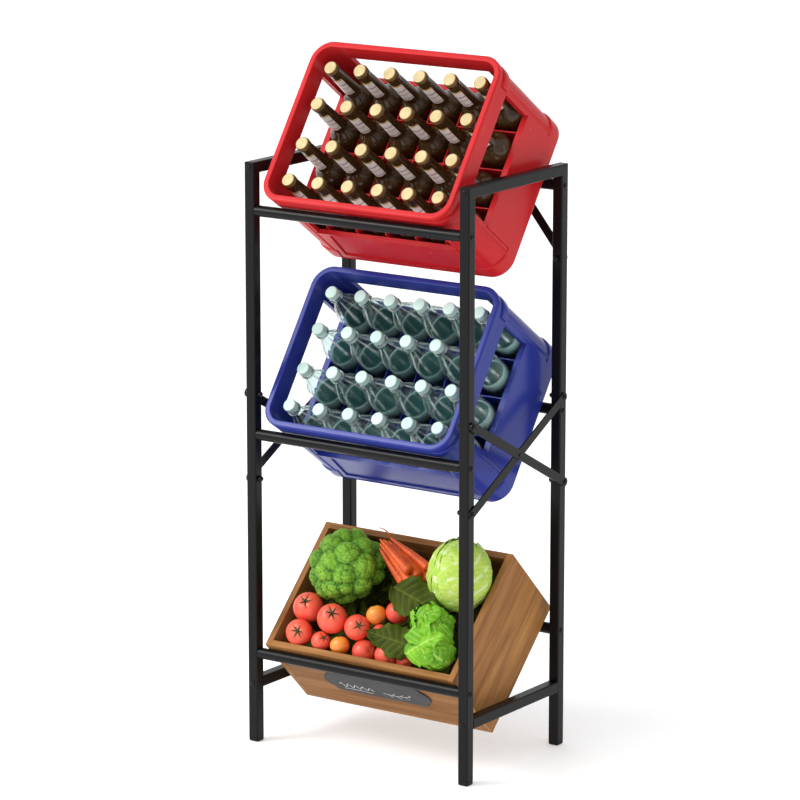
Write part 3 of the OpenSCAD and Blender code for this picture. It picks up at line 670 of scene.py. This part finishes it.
def stroke(pts, width, seed):
    """Closed flat ribbon of chalk along (x, y) points on the plaque's face."""
    p = np.asarray(pts, float)
    d = np.gradient(p, axis=0)
    d /= np.linalg.norm(d, axis=1)[:, None]
    side = np.stack([-d[:, 1], d[:, 0]], 1)
    n = len(p)
    k = np.arange(n)
    w = width / 2 * (0.75 + 0.25 * np.sin(1.7 * k + seed)) * np.sqrt(np.clip(np.minimum(k + 0.6, n - 0.4 - k) / 3, 0, 1))
    out = []
    for q, z in ((-1, 0.03), (1, 0.03), (1, 0.22), (-1, 0.22)):
        e = p + side * (q * w)[:, None]
        out.append(np.stack([e[:, 0], np.full(n, FACE_V - z), FACE_W + e[:, 1]], 1))
    v = np.stack(out, 1).reshape(-1, 3)
    faces = []
    for i in range(n - 1):
        for j in range(4):
            a, b = 4 * i + j, 4 * i + (j + 1) % 4
            faces.append((a, a + 4, b + 4, b))
    faces += [(0, 1, 2, 3), (4 * n - 1, 4 * n - 2, 4 * n - 3, 4 * n - 4)]
    return v, faces, {"along": np.repeat(k / n, 4)}


t = np.linspace(0, 1, 60)
marks = [stroke(np.stack([-84 + 74 * t, -7 + 6.5 * np.sin(30 * t) * (1 - 0.4 * t)], 1), 2.1, 1),
         stroke(np.stack([-80 + 62 * t, -19 + 1.2 * np.sin(4 * t)], 1), 1.7, 2),
         stroke(np.stack([8 + 62 * t, -10 + 5 * t - 4 * np.sin(3.1 * t)], 1), 1.5, 3)]
for k in range(6):
    x0, up = 18 + 9 * k, 1 if k % 2 else -1
    q = t[:18] / t[17]
    marks.append(stroke(np.stack([x0 + 9 * q, -10 + 0.08 * (x0 - 8) - 4 * math.sin(0.05 * (x0 - 8)) + up * 7.5 * q ** 0.8], 1), 1.4, 5 + k))
v, f, at = join(marks)
g = Mat("chalk")
gc = g.coords()
g.set(Base_Color=g.ramp(g.noise(gc, 900, 3, 0.7), [(0.30, rgb(130, 130, 131)), (0.55, rgb(226, 226, 224))]), Roughness=g.range(g.noise(gc, 300, 2), 0.8, 0.95))
g.set(Normal=g.bump(g.noise(gc, 1200, 2), 0.5, 0.0003))
make("chalk_strokes", v * MM, f, g.m, "wood_crate", WOOD, attrs=at)

# ------------------------------------------------------------------ produce

gold = np.random.default_rng(11)
W0 = WOOD
UP = (WOOD.to_3x3().inverted() @ Vector((0, 0, 1))).normalized()
CAMDIR = (WOOD.to_3x3().inverted() @ Vector((0.5587, -0.7998, 0.2197))).normalized()


def frame_of(axis, hint=(1, 0, 0)):
    z = np.asarray(axis, float) / np.linalg.norm(axis)
    x = np.asarray(hint, float) - z * np.dot(hint, z)
    x /= np.linalg.norm(x)
    return np.stack([x, np.cross(z, x), z], 1)


# broccoli: domes of buds over a round head, with outer lobes and bud tips painted lighter and the crevices between
# lobes darker, as painted light and shade
d, f = ico(6)
gen = np.random.default_rng(5)
def lobed(count, jitter, radius, gap):
    q = fib(count) + gen.normal(size=(count, 3)) * jitter
    q /= np.linalg.norm(q, axis=1)[:, None]
    ang = np.arccos(np.clip(d @ q.T, -1, 1)) / (0.8 + 0.4 * gen.random(count))
    two = np.sort(ang, 1)[:, :2]
    return np.sqrt(np.clip(1 - (two[:, 0] / radius) ** 2, 0, 1)), smoothstep(two[:, 1] - two[:, 0], 0.0, gap)


knob = fib(34) + gen.normal(size=(34, 3)) * 0.13
knob /= np.linalg.norm(knob, axis=1)[:, None]
far = 40 + 6 * gen.random(34)
size = 68.2 - far - 4.5 * gen.random(34)
along = (d @ knob.T) * far
disc = along ** 2 - far ** 2 + size ** 2
reach = np.sort(np.where(disc > 0, along + np.sqrt(np.maximum(disc, 0)), 44.0), 1)
big_gap = smoothstep(reach[:, -1] - reach[:, -2], 0.0, 5.0)
big = smoothstep(reach[:, -1], 54, 67)
dome_, crev = lobed(150, 0.07, 0.23, 0.06)
buds = fib(2600) + gen.normal(size=(2600, 3)) * 0.012
buds /= np.linalg.norm(buds, axis=1)[:, None]
a2 = np.concatenate([np.arccos(np.clip(x @ buds.T, -1, 1)).min(1) for x in np.array_split(d, 40)])
bud = np.clip(1 - (a2 / 0.040) ** 2, 0, 1)
rad = np.maximum(reach[:, -1], 46) - 3.2 + 1.8 * dome_ + 1.0 * crev + 1.2 * bud + 1.2 * big_gap
rad = np.minimum(rad, 69) * 1.08
# painted light and shade: outer lobes and lobe middles lighter, crevices between lobes darker
painted_lobe_light = 0.40 * big + 0.25 * dome_ + 0.35 * big_gap
stem = smoothstep(d @ np.array([0, -0.25, -0.97]), 0.35, 0.85)
pts = d * (rad * (1 - 0.18 * stem))[:, None]
pts = pts * np.array([1.0, 0.99, 0.95])
g = Mat("broccoli_buds")
gc = g.coords()
# colour follows the painted light and shade held in the dome and bud attributes
painted_light_mix = g.math("ADD", g.math("MULTIPLY", g.attr("dome"), 0.55), g.math("MULTIPLY", g.attr("bud"), 0.45))
col = g.ramp(painted_light_mix, [(0.12, rgb(24, 62, 12)), (0.36, rgb(62, 112, 26)), (0.60, rgb(100, 150, 40)), (0.95, rgb(144, 190, 62))])
col = g.mix(g.range(g.noise(gc, 16, 3), 0.0, 0.45, 0.45, 0.75), col, rgb(134, 190, 34))
g.set(Base_Color=col, Roughness=g.range(g.noise(gc, 300, 2), 0.5, 0.75))
g.set(Normal=g.bump(g.voronoi(gc, 620), 0.5, 0.0008))
g.b.inputs["Specular IOR Level"].default_value = 0.3
make("broccoli_head", (pts + np.array([-108.5, 44.5, 5])) * MM, f, g.m, "wood_crate", W0, ["broccoli"],
     attrs={"dome": painted_lobe_light * (0.6 + 0.4 * crev), "bud": bud})

# tomatoes
RED_T = [(-150, -45, -2, 27), (-85, -62, -10, 26), (-33, -66, -2, 22), (-145, -96, 0, 23), (-99, -101, 8, 17), (-15, -98, 24, 21),
         (36, -98, 20, 21), (8, -60, 8, 12), (31, -22, 0, 20), (73, -101, 26, 15)]
ORA_T = [(-8, -34, 0, 18), (-59, -101, 10, 17)]
CAL = [(-0.40, 0.40, 0.10), (-0.22, 0.42, 0.05), (0.10, 0.26, 0.05), (-0.20, 0.12, 0.02), (0.08, 0.62, 0.0)]


def tomato(c, r, axis, seed):
    th, n = 48, 26
    gen = np.random.default_rng(seed)
    psi = np.linspace(0, math.pi, n)
    ph0 = gen.random() * 6.28
    lob = 0.016 + 0.014 * gen.random()
    F = frame_of(axis)

    def place(psi, phi, lift=0.0):
        k = 1 - 0.17 * np.exp(-(psi / 0.30) ** 2) - 0.05 * np.exp(-((math.pi - psi) / 0.2) ** 2)
        k = k + lob * np.cos(5 * phi + ph0) * np.exp(-((psi - 0.5) / 0.5) ** 2)
        k = np.minimum(k, 1.0) + lift / r
        p = np.stack([k * np.sin(psi) * np.cos(phi), k * np.sin(psi) * np.sin(phi), 0.93 * k * np.cos(psi)], -1) * r
        return p @ F.T + np.asarray(c, float)

    verts = [place(np.array([0.0]), np.array([0.0]))]
    faces = []
    for i in range(1, n - 1):
        verts.append(place(np.full(th, psi[i]), np.arange(th) * 2 * math.pi / th))
    verts.append(place(np.array([math.pi]), np.array([0.0])))
    v = np.concatenate(verts)
    for j in range(th):
        faces.append((0, 1 + j, 1 + (j + 1) % th))
        last = 1 + (n - 3) * th
        faces.append((last + j, len(v) - 1, last + (j + 1) % th))
    for i in range(n - 3):
        for j in range(th):
            a, b = 1 + i * th + j, 1 + i * th + (j + 1) % th
            faces.append((a, a + th, b + th, b))
    top = np.concatenate([[0], np.repeat(psi[1:-1], th), [math.pi]])
    return (v, faces, {"psi": top / math.pi}), place


def calyx(place, r, seed, count=6):
    gen = np.random.default_rng(seed)
    parts = []
    for k in range(count):
        phi0 = 2 * math.pi * (k + 0.3 * gen.random()) / count
        reach = 0.40 + 0.14 * gen.random()
        bend = (gen.random() - 0.5) * 0.5
        curl = 0.6 + 1.6 * gen.random()

        def sepal(u, s, phi0=phi0, reach=reach, bend=bend, curl=curl):
            w = 0.052 * r * np.sin(math.pi * np.clip(0.12 + 0.88 * u, 0, 1)) ** 0.8 * (1 - 0.55 * u) + 0.02 * r * (1 - u)
            psi = 0.02 + reach * u
            phi = phi0 + bend * u + (s - 0.5) * 2 * np.minimum(w / (r * np.maximum(np.sin(psi), 0.05)), 0.9)
            lift = 0.7 + curl * u ** 2.2 + 0.5 * (1 - (2 * s - 1) ** 2)
            return place(psi, phi, lift), {"psi": u}

        parts.append(grid(9, 5, sepal))

    def stalk(u, s):
        ph = s * 2 * math.pi
        q = 0.075 * r * (1 - 0.25 * u)
        base = place(np.zeros(1), np.zeros(1))[0]
        tip = place(np.zeros(1), np.zeros(1), 0.34 * r)[0]
        ax = (tip - base) / np.linalg.norm(tip - base)
        F = frame_of(ax)
        ctr = base + np.outer(u, tip - base) + np.outer(u ** 2 * 0.10 * r, F[:, 0])
        return ctr + np.outer(q * np.cos(ph), F[:, 0]) + np.outer(q * np.sin(ph), F[:, 1]), {"psi": u * 0}

    parts.append(tube(5, 10, stalk))
    return parts


g = Mat("tomato_skin")
gc = g.coords()
col = g.ramp(g.attr("psi"), [(0.0, rgb(236, 126, 80)), (0.10, rgb(238, 98, 70)), (0.35, rgb(236, 82, 62)), (1.0, rgb(220, 58, 46))])
col = g.mix(g.range(g.noise(gc, 40, 3), 0.0, 0.30, 0.45, 0.75), col, rgb(242, 116, 76))
speck = g.ramp(g.voronoi(gc, 420), [(0.05, 1.0), (0.12, 0.0)])
g.set(Base_Color=g.mix(g.math("MULTIPLY", speck, 0.18), col, rgb(244, 150, 110)), Roughness=g.range(g.noise(gc, 50, 2), 0.30, 0.44))
g.set(Normal=g.bump(g.noise(gc, 150, 2), 0.03, 0.0005))
g.b.inputs["Subsurface Weight"].default_value = 0.15
g.b.inputs["Subsurface Scale"].default_value = 0.006
TOM = g.m
parts, green = [], []
for i, (u, vv, w, r) in enumerate(RED_T):
    off = CAL[i] if i < len(CAL) else (0.7 * math.sin(3.1 * i), 0.9 * math.cos(2.3 * i), -0.4)
    ax = np.array(CAMDIR) + np.array(off)
    r = (1.03 if i == 0 else 1.05) * r
    body, place = tomato((u, vv, -w), r, ax, 20 + i)
    parts.append(body)
    if i < 5:
        green += calyx(place, r, 40 + i, 5 + i % 2)
v, f, at = join(parts)
make("red_tomato_fruit", v * MM, f, TOM, "wood_crate", W0, ["red_tomatoes"], attrs=at)
v, f, at = join(green)
g = Mat("tomato_calyx")
gc = g.coords()
g.set(Base_Color=g.ramp(g.noise(gc, 120, 3), [(0.3, rgb(16, 36, 10)), (0.7, rgb(40, 74, 24))]), Roughness=g.range(g.noise(gc, 90, 2), 0.5, 0.75))
g.set(Normal=g.bump(g.noise(gc, 500, 2), 0.3, 0.0004))
o = make("tomato_stems", v * MM, f, g.m, "wood_crate", W0, attrs=at)
sol = o.modifiers.new("thick", "SOLIDIFY")
sol.thickness = 0.7 * MM
sol.offset = -1.0
g = Mat("orange_tomato_skin")
gc = g.coords()
col = g.ramp(g.attr("psi"), [(0.0, rgb(204, 150, 60)), (0.12, rgb(236, 152, 56)), (0.5, rgb(238, 140, 52)), (1.0, rgb(226, 112, 40))])
g.set(Base_Color=g.mix(g.range(g.noise(gc, 45, 3), 0.0, 0.4, 0.4, 0.8), col, rgb(244, 176, 84)), Roughness=g.range(g.noise(gc, 50, 2), 0.18, 0.30))
g.set(Normal=g.bump(g.noise(gc, 150, 2), 0.03, 0.0005))
g.b.inputs["Subsurface Weight"].default_value = 0.12
g.b.inputs["Subsurface Scale"].default_value = 0.006
parts = [tomato((u, vv, -w), 1.04 * r, np.array((0.2 * i - 0.5, 0.9, 0.5)), 70 + i)[0] for i, (u, vv, w, r) in enumerate(ORA_T)]
v, f, at = join(parts)
make("orange_tomato_fruit", v * MM, f, g.m, "wood_crate", W0, ["orange_tomatoes"], attrs=at)

# carrots: a loose bundle of tapered roots with creases and a blunt crown
CARROTS = [(0, 0, 2, 24), (20, 46, 2, 26), (40, 30, 3, 26), (10, 20, 20, 34), (30, 10, 20, 36), (20, -10, 37, 42), (51, 4, 16, 30)]
CROWNS = [0, 0, 0, 8, 14, 24, 14]
parts = []
for k, (across, start, w0, w1) in enumerate(CARROTS):
    gen = np.random.default_rng(90 + k)
    c0 = np.array([18 + 0.6 * across + 0.8 * start, 36 + 0.8 * across - 0.6 * start, w0])
    c1 = np.array([-50 + 0.3 * across, 86 + 0.4 * across, w1])
    c0 = c0 + CROWNS[k] * np.array([0.78, -0.58, -0.2])
    length = np.linalg.norm(c1 - c0)
    F = frame_of(c1 - c0, (0, 0, 1))
    side = (gen.random(2) - 0.5) * 4
    ph0 = gen.random(6) * 6.28

    def root(u, s, c0=c0, F=F, side=side, ph0=ph0, length=length, k=k):
        ph = s * 2 * math.pi
        t = 1 - (1 - u) ** 1.0
        r = 10.0 * (1 - 0.80 * t ** 1.2)
        r = r * np.sqrt(np.clip(1 - ((0.06 - t).clip(0) / 0.06) ** 2, 0.0, 1)) * np.sqrt(np.clip((1 - t) / 0.08, 0, 1))
        r = r * (1 + 0.03 * np.sin(61 * t + ph0[0]) * np.sin(ph + ph0[1] + 9 * t) + 0.025 * np.sin(133 * t + ph0[2]) * np.sin(2 * ph + ph0[3]))
        r = np.maximum(r, 0.15)
        ctr = c0 + np.outer(length * t, F[:, 2]) + np.outer(side[0] * np.sin(3.1 * t), F[:, 1]) + np.outer(0.4 * side[1] * np.sin(3.1 * t), F[:, 0])
        return ctr + np.outer(r * np.cos(ph), F[:, 0]) + np.outer(r * np.sin(ph), F[:, 1]), {"along": length * t / 10, "root": 3.7 * k + 0 * t, "turn": np.cos(ph)}

    parts.append(tube(80, 24, root))


def whisker(u, s):
    ph = s * 2 * math.pi
    a, b, c = np.array([-35, 106, 30.0]), np.array([-35, 116, 41.0]), np.array([-55, 115, 44.0])
    F = frame_of(c - a)
    ctr = np.outer((1 - u) ** 2, a) + np.outer(2 * u * (1 - u), b) + np.outer(u ** 2, c)
    r = 1.5 - 0.6 * u
    return ctr + np.outer(r * np.cos(ph), F[:, 0]) + np.outer(r * np.sin(ph), F[:, 1]), {"along": 3 * u, "root": 31 + 0 * u, "turn": np.cos(ph)}


parts.append(tube(14, 8, whisker))
v, f, at = join(parts)
g = Mat("carrot_root")
gc = g.coords()
rings = g.noise(g.vec(g.math("MULTIPLY", g.attr("along"), 2.6), g.attr("root"), g.math("MULTIPLY", g.attr("turn"), 0.4)), 1.4, 4, 0.6)
col = g.ramp(g.noise(gc, 36, 3), [(0.3, rgb(194, 68, 6)), (0.7, rgb(228, 96, 12))])
col = g.mix(g.ramp(rings, [(0.34, 0.55), (0.47, 0.0)]), col, rgb(150, 42, 10))
g.set(Base_Color=col, Roughness=g.range(rings, 0.55, 0.38))
g.set(Normal=g.bump(rings, 0.4, 0.0008))
g.b.inputs["Subsurface Weight"].default_value = 0.1
g.b.inputs["Subsurface Scale"].default_value = 0.005
make("carrot_roots", v * MM, f, g.m, "wood_crate", W0, ["carrots"], attrs=at)


# heads of leaves: each leaf wraps a rounded body from its foot to its tip
def head(centre, axis, hint, A, B, leaves, seed, crinkle, wave, flare, pace=1.0, core=0.95):
    gen = np.random.default_rng(seed)
    F = frame_of(axis, hint)
    parts = []
    dd, ff = ico(5)
    p = dd * np.array([A, A, B]) * core
    p = p * (1 + 0.02 * waves(dd, 6, seed))[:, None]
    parts.append((p @ F.T + centre, ff, {"vein": 0.15 + 0 * dd[:, 0], "edge": 0.4 + 0 * dd[:, 0]}))
    for k in range(leaves):
        fc = 2.39996 * k + gen.random() * 0.5
        layer = 0.94 + 0.055 * k / max(leaves - 1, 1)
        top = 2.55 + 0.4 * gen.random()
        ph = gen.random(4) * 6.28
        n1 = 7 + int(3 * gen.random())

        def leaf(u, s, fc=fc, layer=layer, top=top, ph=ph, n1=n1, k=k):
            q = 2 * s - 1
            psi = 0.10 + (top - 0.10) * u * (1 - 0.16 * q ** 2)
            half = 0.30 + 0.95 * np.sin(math.pi * np.clip(0.08 + 0.66 * u, 0, 1))
            phi = fc + q * half
            width = np.sin(psi) * A * half
            mid = np.exp(-(q * width / (1.2 + 6.5 * (1 - u) ** 1.3)) ** 2)
            run = n1 * u - 2.1 * np.abs(q) * (0.6 + 0.6 * u)
            vein = np.exp(-((np.abs(run % 1.0 - 0.5)) / 0.10) ** 2) * smoothstep(1 - np.abs(q), 0.02, 0.4) * 0.75
            net = np.exp(-((np.abs((3.3 * run + 5 * q) % 1.0 - 0.5)) / 0.13) ** 2) * 0.28
            edge = smoothstep(np.maximum(np.abs(q), smoothstep(u, 0.55, 1.0)), 0.55, 1.0)
            pillow = (1 - np.exp(-((np.abs(run % 1.0 - 0.5)) / 0.22) ** 2)) * (1 - mid)
            dirs = np.stack([np.sin(psi) * np.cos(phi), np.sin(psi) * np.sin(phi), -np.cos(psi)], 1)
            fr = wave * edge * (np.sin(17 * pace * u + ph[0] + 3 * q) + 0.7 * np.sin(29 * pace * q + ph[1] + 4 * u))
            k_ = layer + 0.016 * q + crinkle * pillow + fr + flare * smoothstep(u, 0.72, 1.0) * (0.5 + 0.5 * np.sin(ph[2])) + 0.012 * mid
            k_ = k_ + crinkle * 0.6 * waves(dirs, 14 * pace, seed * 7 + k)
            p = dirs * np.array([A, A, B]) * k_[:, None]
            return p @ F.T + centre, {"vein": np.maximum(np.maximum(mid, vein), net), "edge": edge}

        parts.append(grid(56, 40, leaf))
    return join(parts)


def leaf_mat(name, base, deep, vein, rim, rough):
    g = Mat(name)
    gc = g.coords()
    col = g.ramp(g.noise(gc, 34, 4, 0.6), [(0.3, deep), (0.7, base)])
    col = g.mix(g.math("MULTIPLY", g.attr("edge"), 0.75), col, rim)
    col = g.mix(g.range(g.attr("vein"), 0.0, 0.95), col, vein)
    g.set(Base_Color=col, Roughness=g.range(g.noise(gc, 60, 3), rough - 0.08, rough + 0.1))
    h = g.math("ADD", g.math("MULTIPLY", g.attr("vein"), 0.7), g.math("MULTIPLY", g.voronoi(gc, 190), 0.8))
    g.set(Normal=g.bump(h, 0.45, 0.0012))
    g.b.inputs["Specular IOR Level"].default_value = 0.2
    g.b.inputs["Subsurface Weight"].default_value = 0.08
    g.b.inputs["Subsurface Scale"].default_value = 0.004
    return g.m


CAB = leaf_mat("napa_leaf", rgb(192, 216, 92), rgb(164, 198, 56), rgb(238, 243, 208), rgb(146, 188, 44), 0.45)
LET = leaf_mat("lettuce_leaf", rgb(128, 188, 32), rgb(66, 138, 20), rgb(176, 214, 96), rgb(112, 180, 34), 0.42)
LEAF = leaf_mat("dark_leaf", rgb(66, 78, 7), rgb(40, 54, 4), rgb(92, 104, 22), rgb(74, 92, 10), 0.70)

v, f, at = head(np.array([136, 60, 26.0]), np.array([0.12, 0.69, 0.71]), (1, 0, 0), 57, 66, 11, 3, 0.018, 0.014, 0.0, 1.0, 0.972)
o = make("napa_cabbage", v * MM, f, CAB, "wood_crate", W0, ["cabbage"], attrs=at)


def flat_leaf(centre, along, normal, L, W, seed, curl=0.18, wave=0.05, teeth=0.0):
    F = frame_of(normal, along)
    ph = np.random.default_rng(seed).random(4) * 6.28

    def fn(u, s):
        q = 2 * s - 1
        prof = np.sin(math.pi * u ** 0.72) ** 0.8 * (1 - 0.25 * u) + 0.03
        prof = prof * (1 + teeth * np.abs(q) ** 4 * np.sign(np.sin(44 * u)) * np.abs(np.sin(44 * u)))
        x = (u - 0.5) * L
        y = q * prof * W / 2
        z = -curl * W * (q * prof) ** 2 * 0.8 - curl * L * 0.5 * (u - 0.45) ** 2 + wave * W * np.abs(q) ** 2 * np.sin(13 * u + ph[0] + 1.5 * np.sign(q))
        run = 7.5 * u - 1.5 * np.abs(q)
        mid = np.exp(-(y / (0.012 * L * (1.25 - u))) ** 2)
        vein = np.exp(-((np.abs(run % 1.0 - 0.5)) / 0.085) ** 2) * 0.75 * smoothstep(1 - np.abs(q), 0.0, 0.3)
        pillow = (1 - np.exp(-((np.abs(run % 1.0 - 0.5)) / 0.2) ** 2)) * (1 - mid)
        z = z + 0.022 * W * pillow
        p = np.stack([x, y, z], 1) @ F.T + np.asarray(centre, float)
        return p, {"vein": np.maximum(mid, vein), "edge": smoothstep(np.abs(q), 0.6, 1.0)}

    return grid(60, 27, fn)


# lettuces: two crumpled heads, each wrapped in large loose leaves
a1 = head(np.array([124, -43, 14.0]), np.array([-0.25, 0.3, 0.9]), (1, 0, 0), 35, 37, 7, 8, 0.045, 0.07, 0.20, 0.7)
a2 = head(np.array([148, -86, 5.0]), np.array([-0.35, -0.15, 0.9]), (1, 0, 0), 31, 33, 7, 9, 0.040, 0.07, 0.18, 0.7)
wrap = [flat_leaf((118, -53, 47), (0.55, 0.60, 0.25), (-0.45, 0.05, 0.9), 84, 72, 11, 0.55, 0.10, 0.05),
        flat_leaf((142, -50, 47), (0.45, -0.65, -0.25), (0.35, 0.10, 0.9), 80, 64, 12, 0.60, 0.10, 0.05),
        flat_leaf((136, -90, 38), (0.80, 0.42, 0.10), (-0.25, -0.30, 0.9), 92, 66, 13, 0.50, 0.09, 0.05),
        flat_leaf((158, -82, 36), (0.10, -0.9, -0.2), (0.40, -0.15, 0.9), 74, 58, 14, 0.60, 0.10, 0.05)]
v, f, at = join([a1, a2] + wrap)
make("lettuce_heads", v * MM, f, LET, "wood_crate", W0, ["lettuces"], attrs=at)

leaves = [flat_leaf((85, -9, 38), (0.969, -0.247, 0.0), (0.2, -0.2, 0.95), 104, 80, 1, 0.14, 0.10, 0.06),
          flat_leaf((48, -81, 13), (-0.97, 0.10, 0.0), (0.1, -0.25, 0.95), 96, 66, 2, 0.16, 0.12, 0.06)]
v, f, at = join(leaves)
o = make("large_leaves", v * MM, f, LEAF, "wood_crate", W0, ["loose_leaves"], attrs=at)
sol = o.modifiers.new("thick", "SOLIDIFY")
sol.thickness = 0.8 * MM

# bed: many small leaves piled under the goods
gen = np.random.default_rng(77)
parts = []
for k in range(170):
    u = -178 + 356 * gen.random()
    w_ = -108 + 216 * gen.random()
    if u > -36 and w_ > -78:
        top = -37
    elif w_ < -16:
        top = -46
    else:
        top = -70
    ax = gen.normal(size=3) * np.array([1, 1, 0.25])
    nm = np.array([0, 0, 1.0]) + gen.normal(size=3) * 0.35
    size = 38 + 26 * gen.random()
    u = np.clip(u, -188 + size / 2, 188 - size / 2)
    w_ = np.clip(w_, -118 + size / 2, 118 - size / 2)
    lv = flat_leaf((u, w_, top - 3 - 9 * gen.random()), ax, nm, size, size * 0.6, 300 + k, 0.2, 0.06)
    parts.append((lv[0], lv[1], lv[2]))
v, f, at = join(parts)
o = make("leaf_bed", v * MM, f, LEAF, "wood_crate", W0, ["produce_bed"], attrs=at)
sol = o.modifiers.new("thick", "SOLIDIFY")
sol.thickness = 0.7 * MM

# ------------------------------------------------------------------ stage and light

fl = Mat("pale_floor")
fc = fl.coords()
fl.set(Base_Color=fl.ramp(fl.noise(fc, 1.5, 2), [(0.3, (0.90, 0.90, 0.90, 1)), (0.7, (0.93, 0.93, 0.93, 1))]), Roughness=fl.range(fl.noise(fc, 8, 2), 0.6, 0.75))
fl.b.inputs["Specular IOR Level"].default_value = 0.2
fl.b.inputs["Emission Color"].default_value = (1, 1, 1, 1)
fl.b.inputs["Emission Strength"].default_value = 0.28
me = bpy.data.meshes.new("floor")
me.from_pydata([(-60, -60, 0), (60, -60, 0), (60, 60, 0), (-60, 60, 0)], [], [(0, 1, 2, 3)])
me.materials.append(fl.m)
floor = bpy.data.objects.new("floor", me)
scene.collection.objects.link(floor)

world = bpy.data.worlds.new("studio")
scene.world = world
world.use_nodes = True
bg = world.node_tree.nodes["Background"]
bg.inputs["Color"].default_value = (1, 1, 1, 1)
tc = world.node_tree.nodes.new("ShaderNodeTexCoord")
dot = world.node_tree.nodes.new("ShaderNodeVectorMath")
dot.operation = "DOT_PRODUCT"
dot.inputs[1].default_value = (0.80, 0.45, -0.10)
mr = world.node_tree.nodes.new("ShaderNodeMapRange")
for k, x in zip(("From Min", "From Max", "To Min", "To Max"), (-1.0, 1.0, 1.12, 0.54)):
    mr.inputs[k].default_value = x
world.node_tree.links.new(tc.outputs["Generated"], dot.inputs[0])
world.node_tree.links.new(dot.outputs["Value"], mr.inputs["Value"])
world.node_tree.links.new(mr.outputs["Result"], bg.inputs["Strength"])


def sun(name, direction, strength, angle):
    d = bpy.data.lights.new(name, "SUN")
    d.energy = strength
    d.angle = math.radians(angle)
    o = bpy.data.objects.new(name, d)
    scene.collection.objects.link(o)
    o.rotation_mode = "QUATERNION"
    o.rotation_quaternion = Vector(direction).to_track_quat("Z", "Y")


def area(name, loc, target, size, power):
    d = bpy.data.lights.new(name, "AREA")
    d.shape = "RECTANGLE"
    d.size, d.size_y = size
    d.energy = power
    o = bpy.data.objects.new(name, d)
    scene.collection.objects.link(o)
    o.location = loc
    o.rotation_mode = "QUATERNION"
    o.rotation_quaternion = (Vector(loc) - Vector(target)).to_track_quat("Z", "Y")


sun("key", (-0.45, -0.75, 0.70), 1.0, 45)
area("front_box", (-2.0, -2.3, 2.7), (0, 0, 0.7), (1.2, 1.0), 45)
area("side_box", (3.4, -0.4, 2.2), (0, 0, 0.7), (0.5, 2.2), 5)
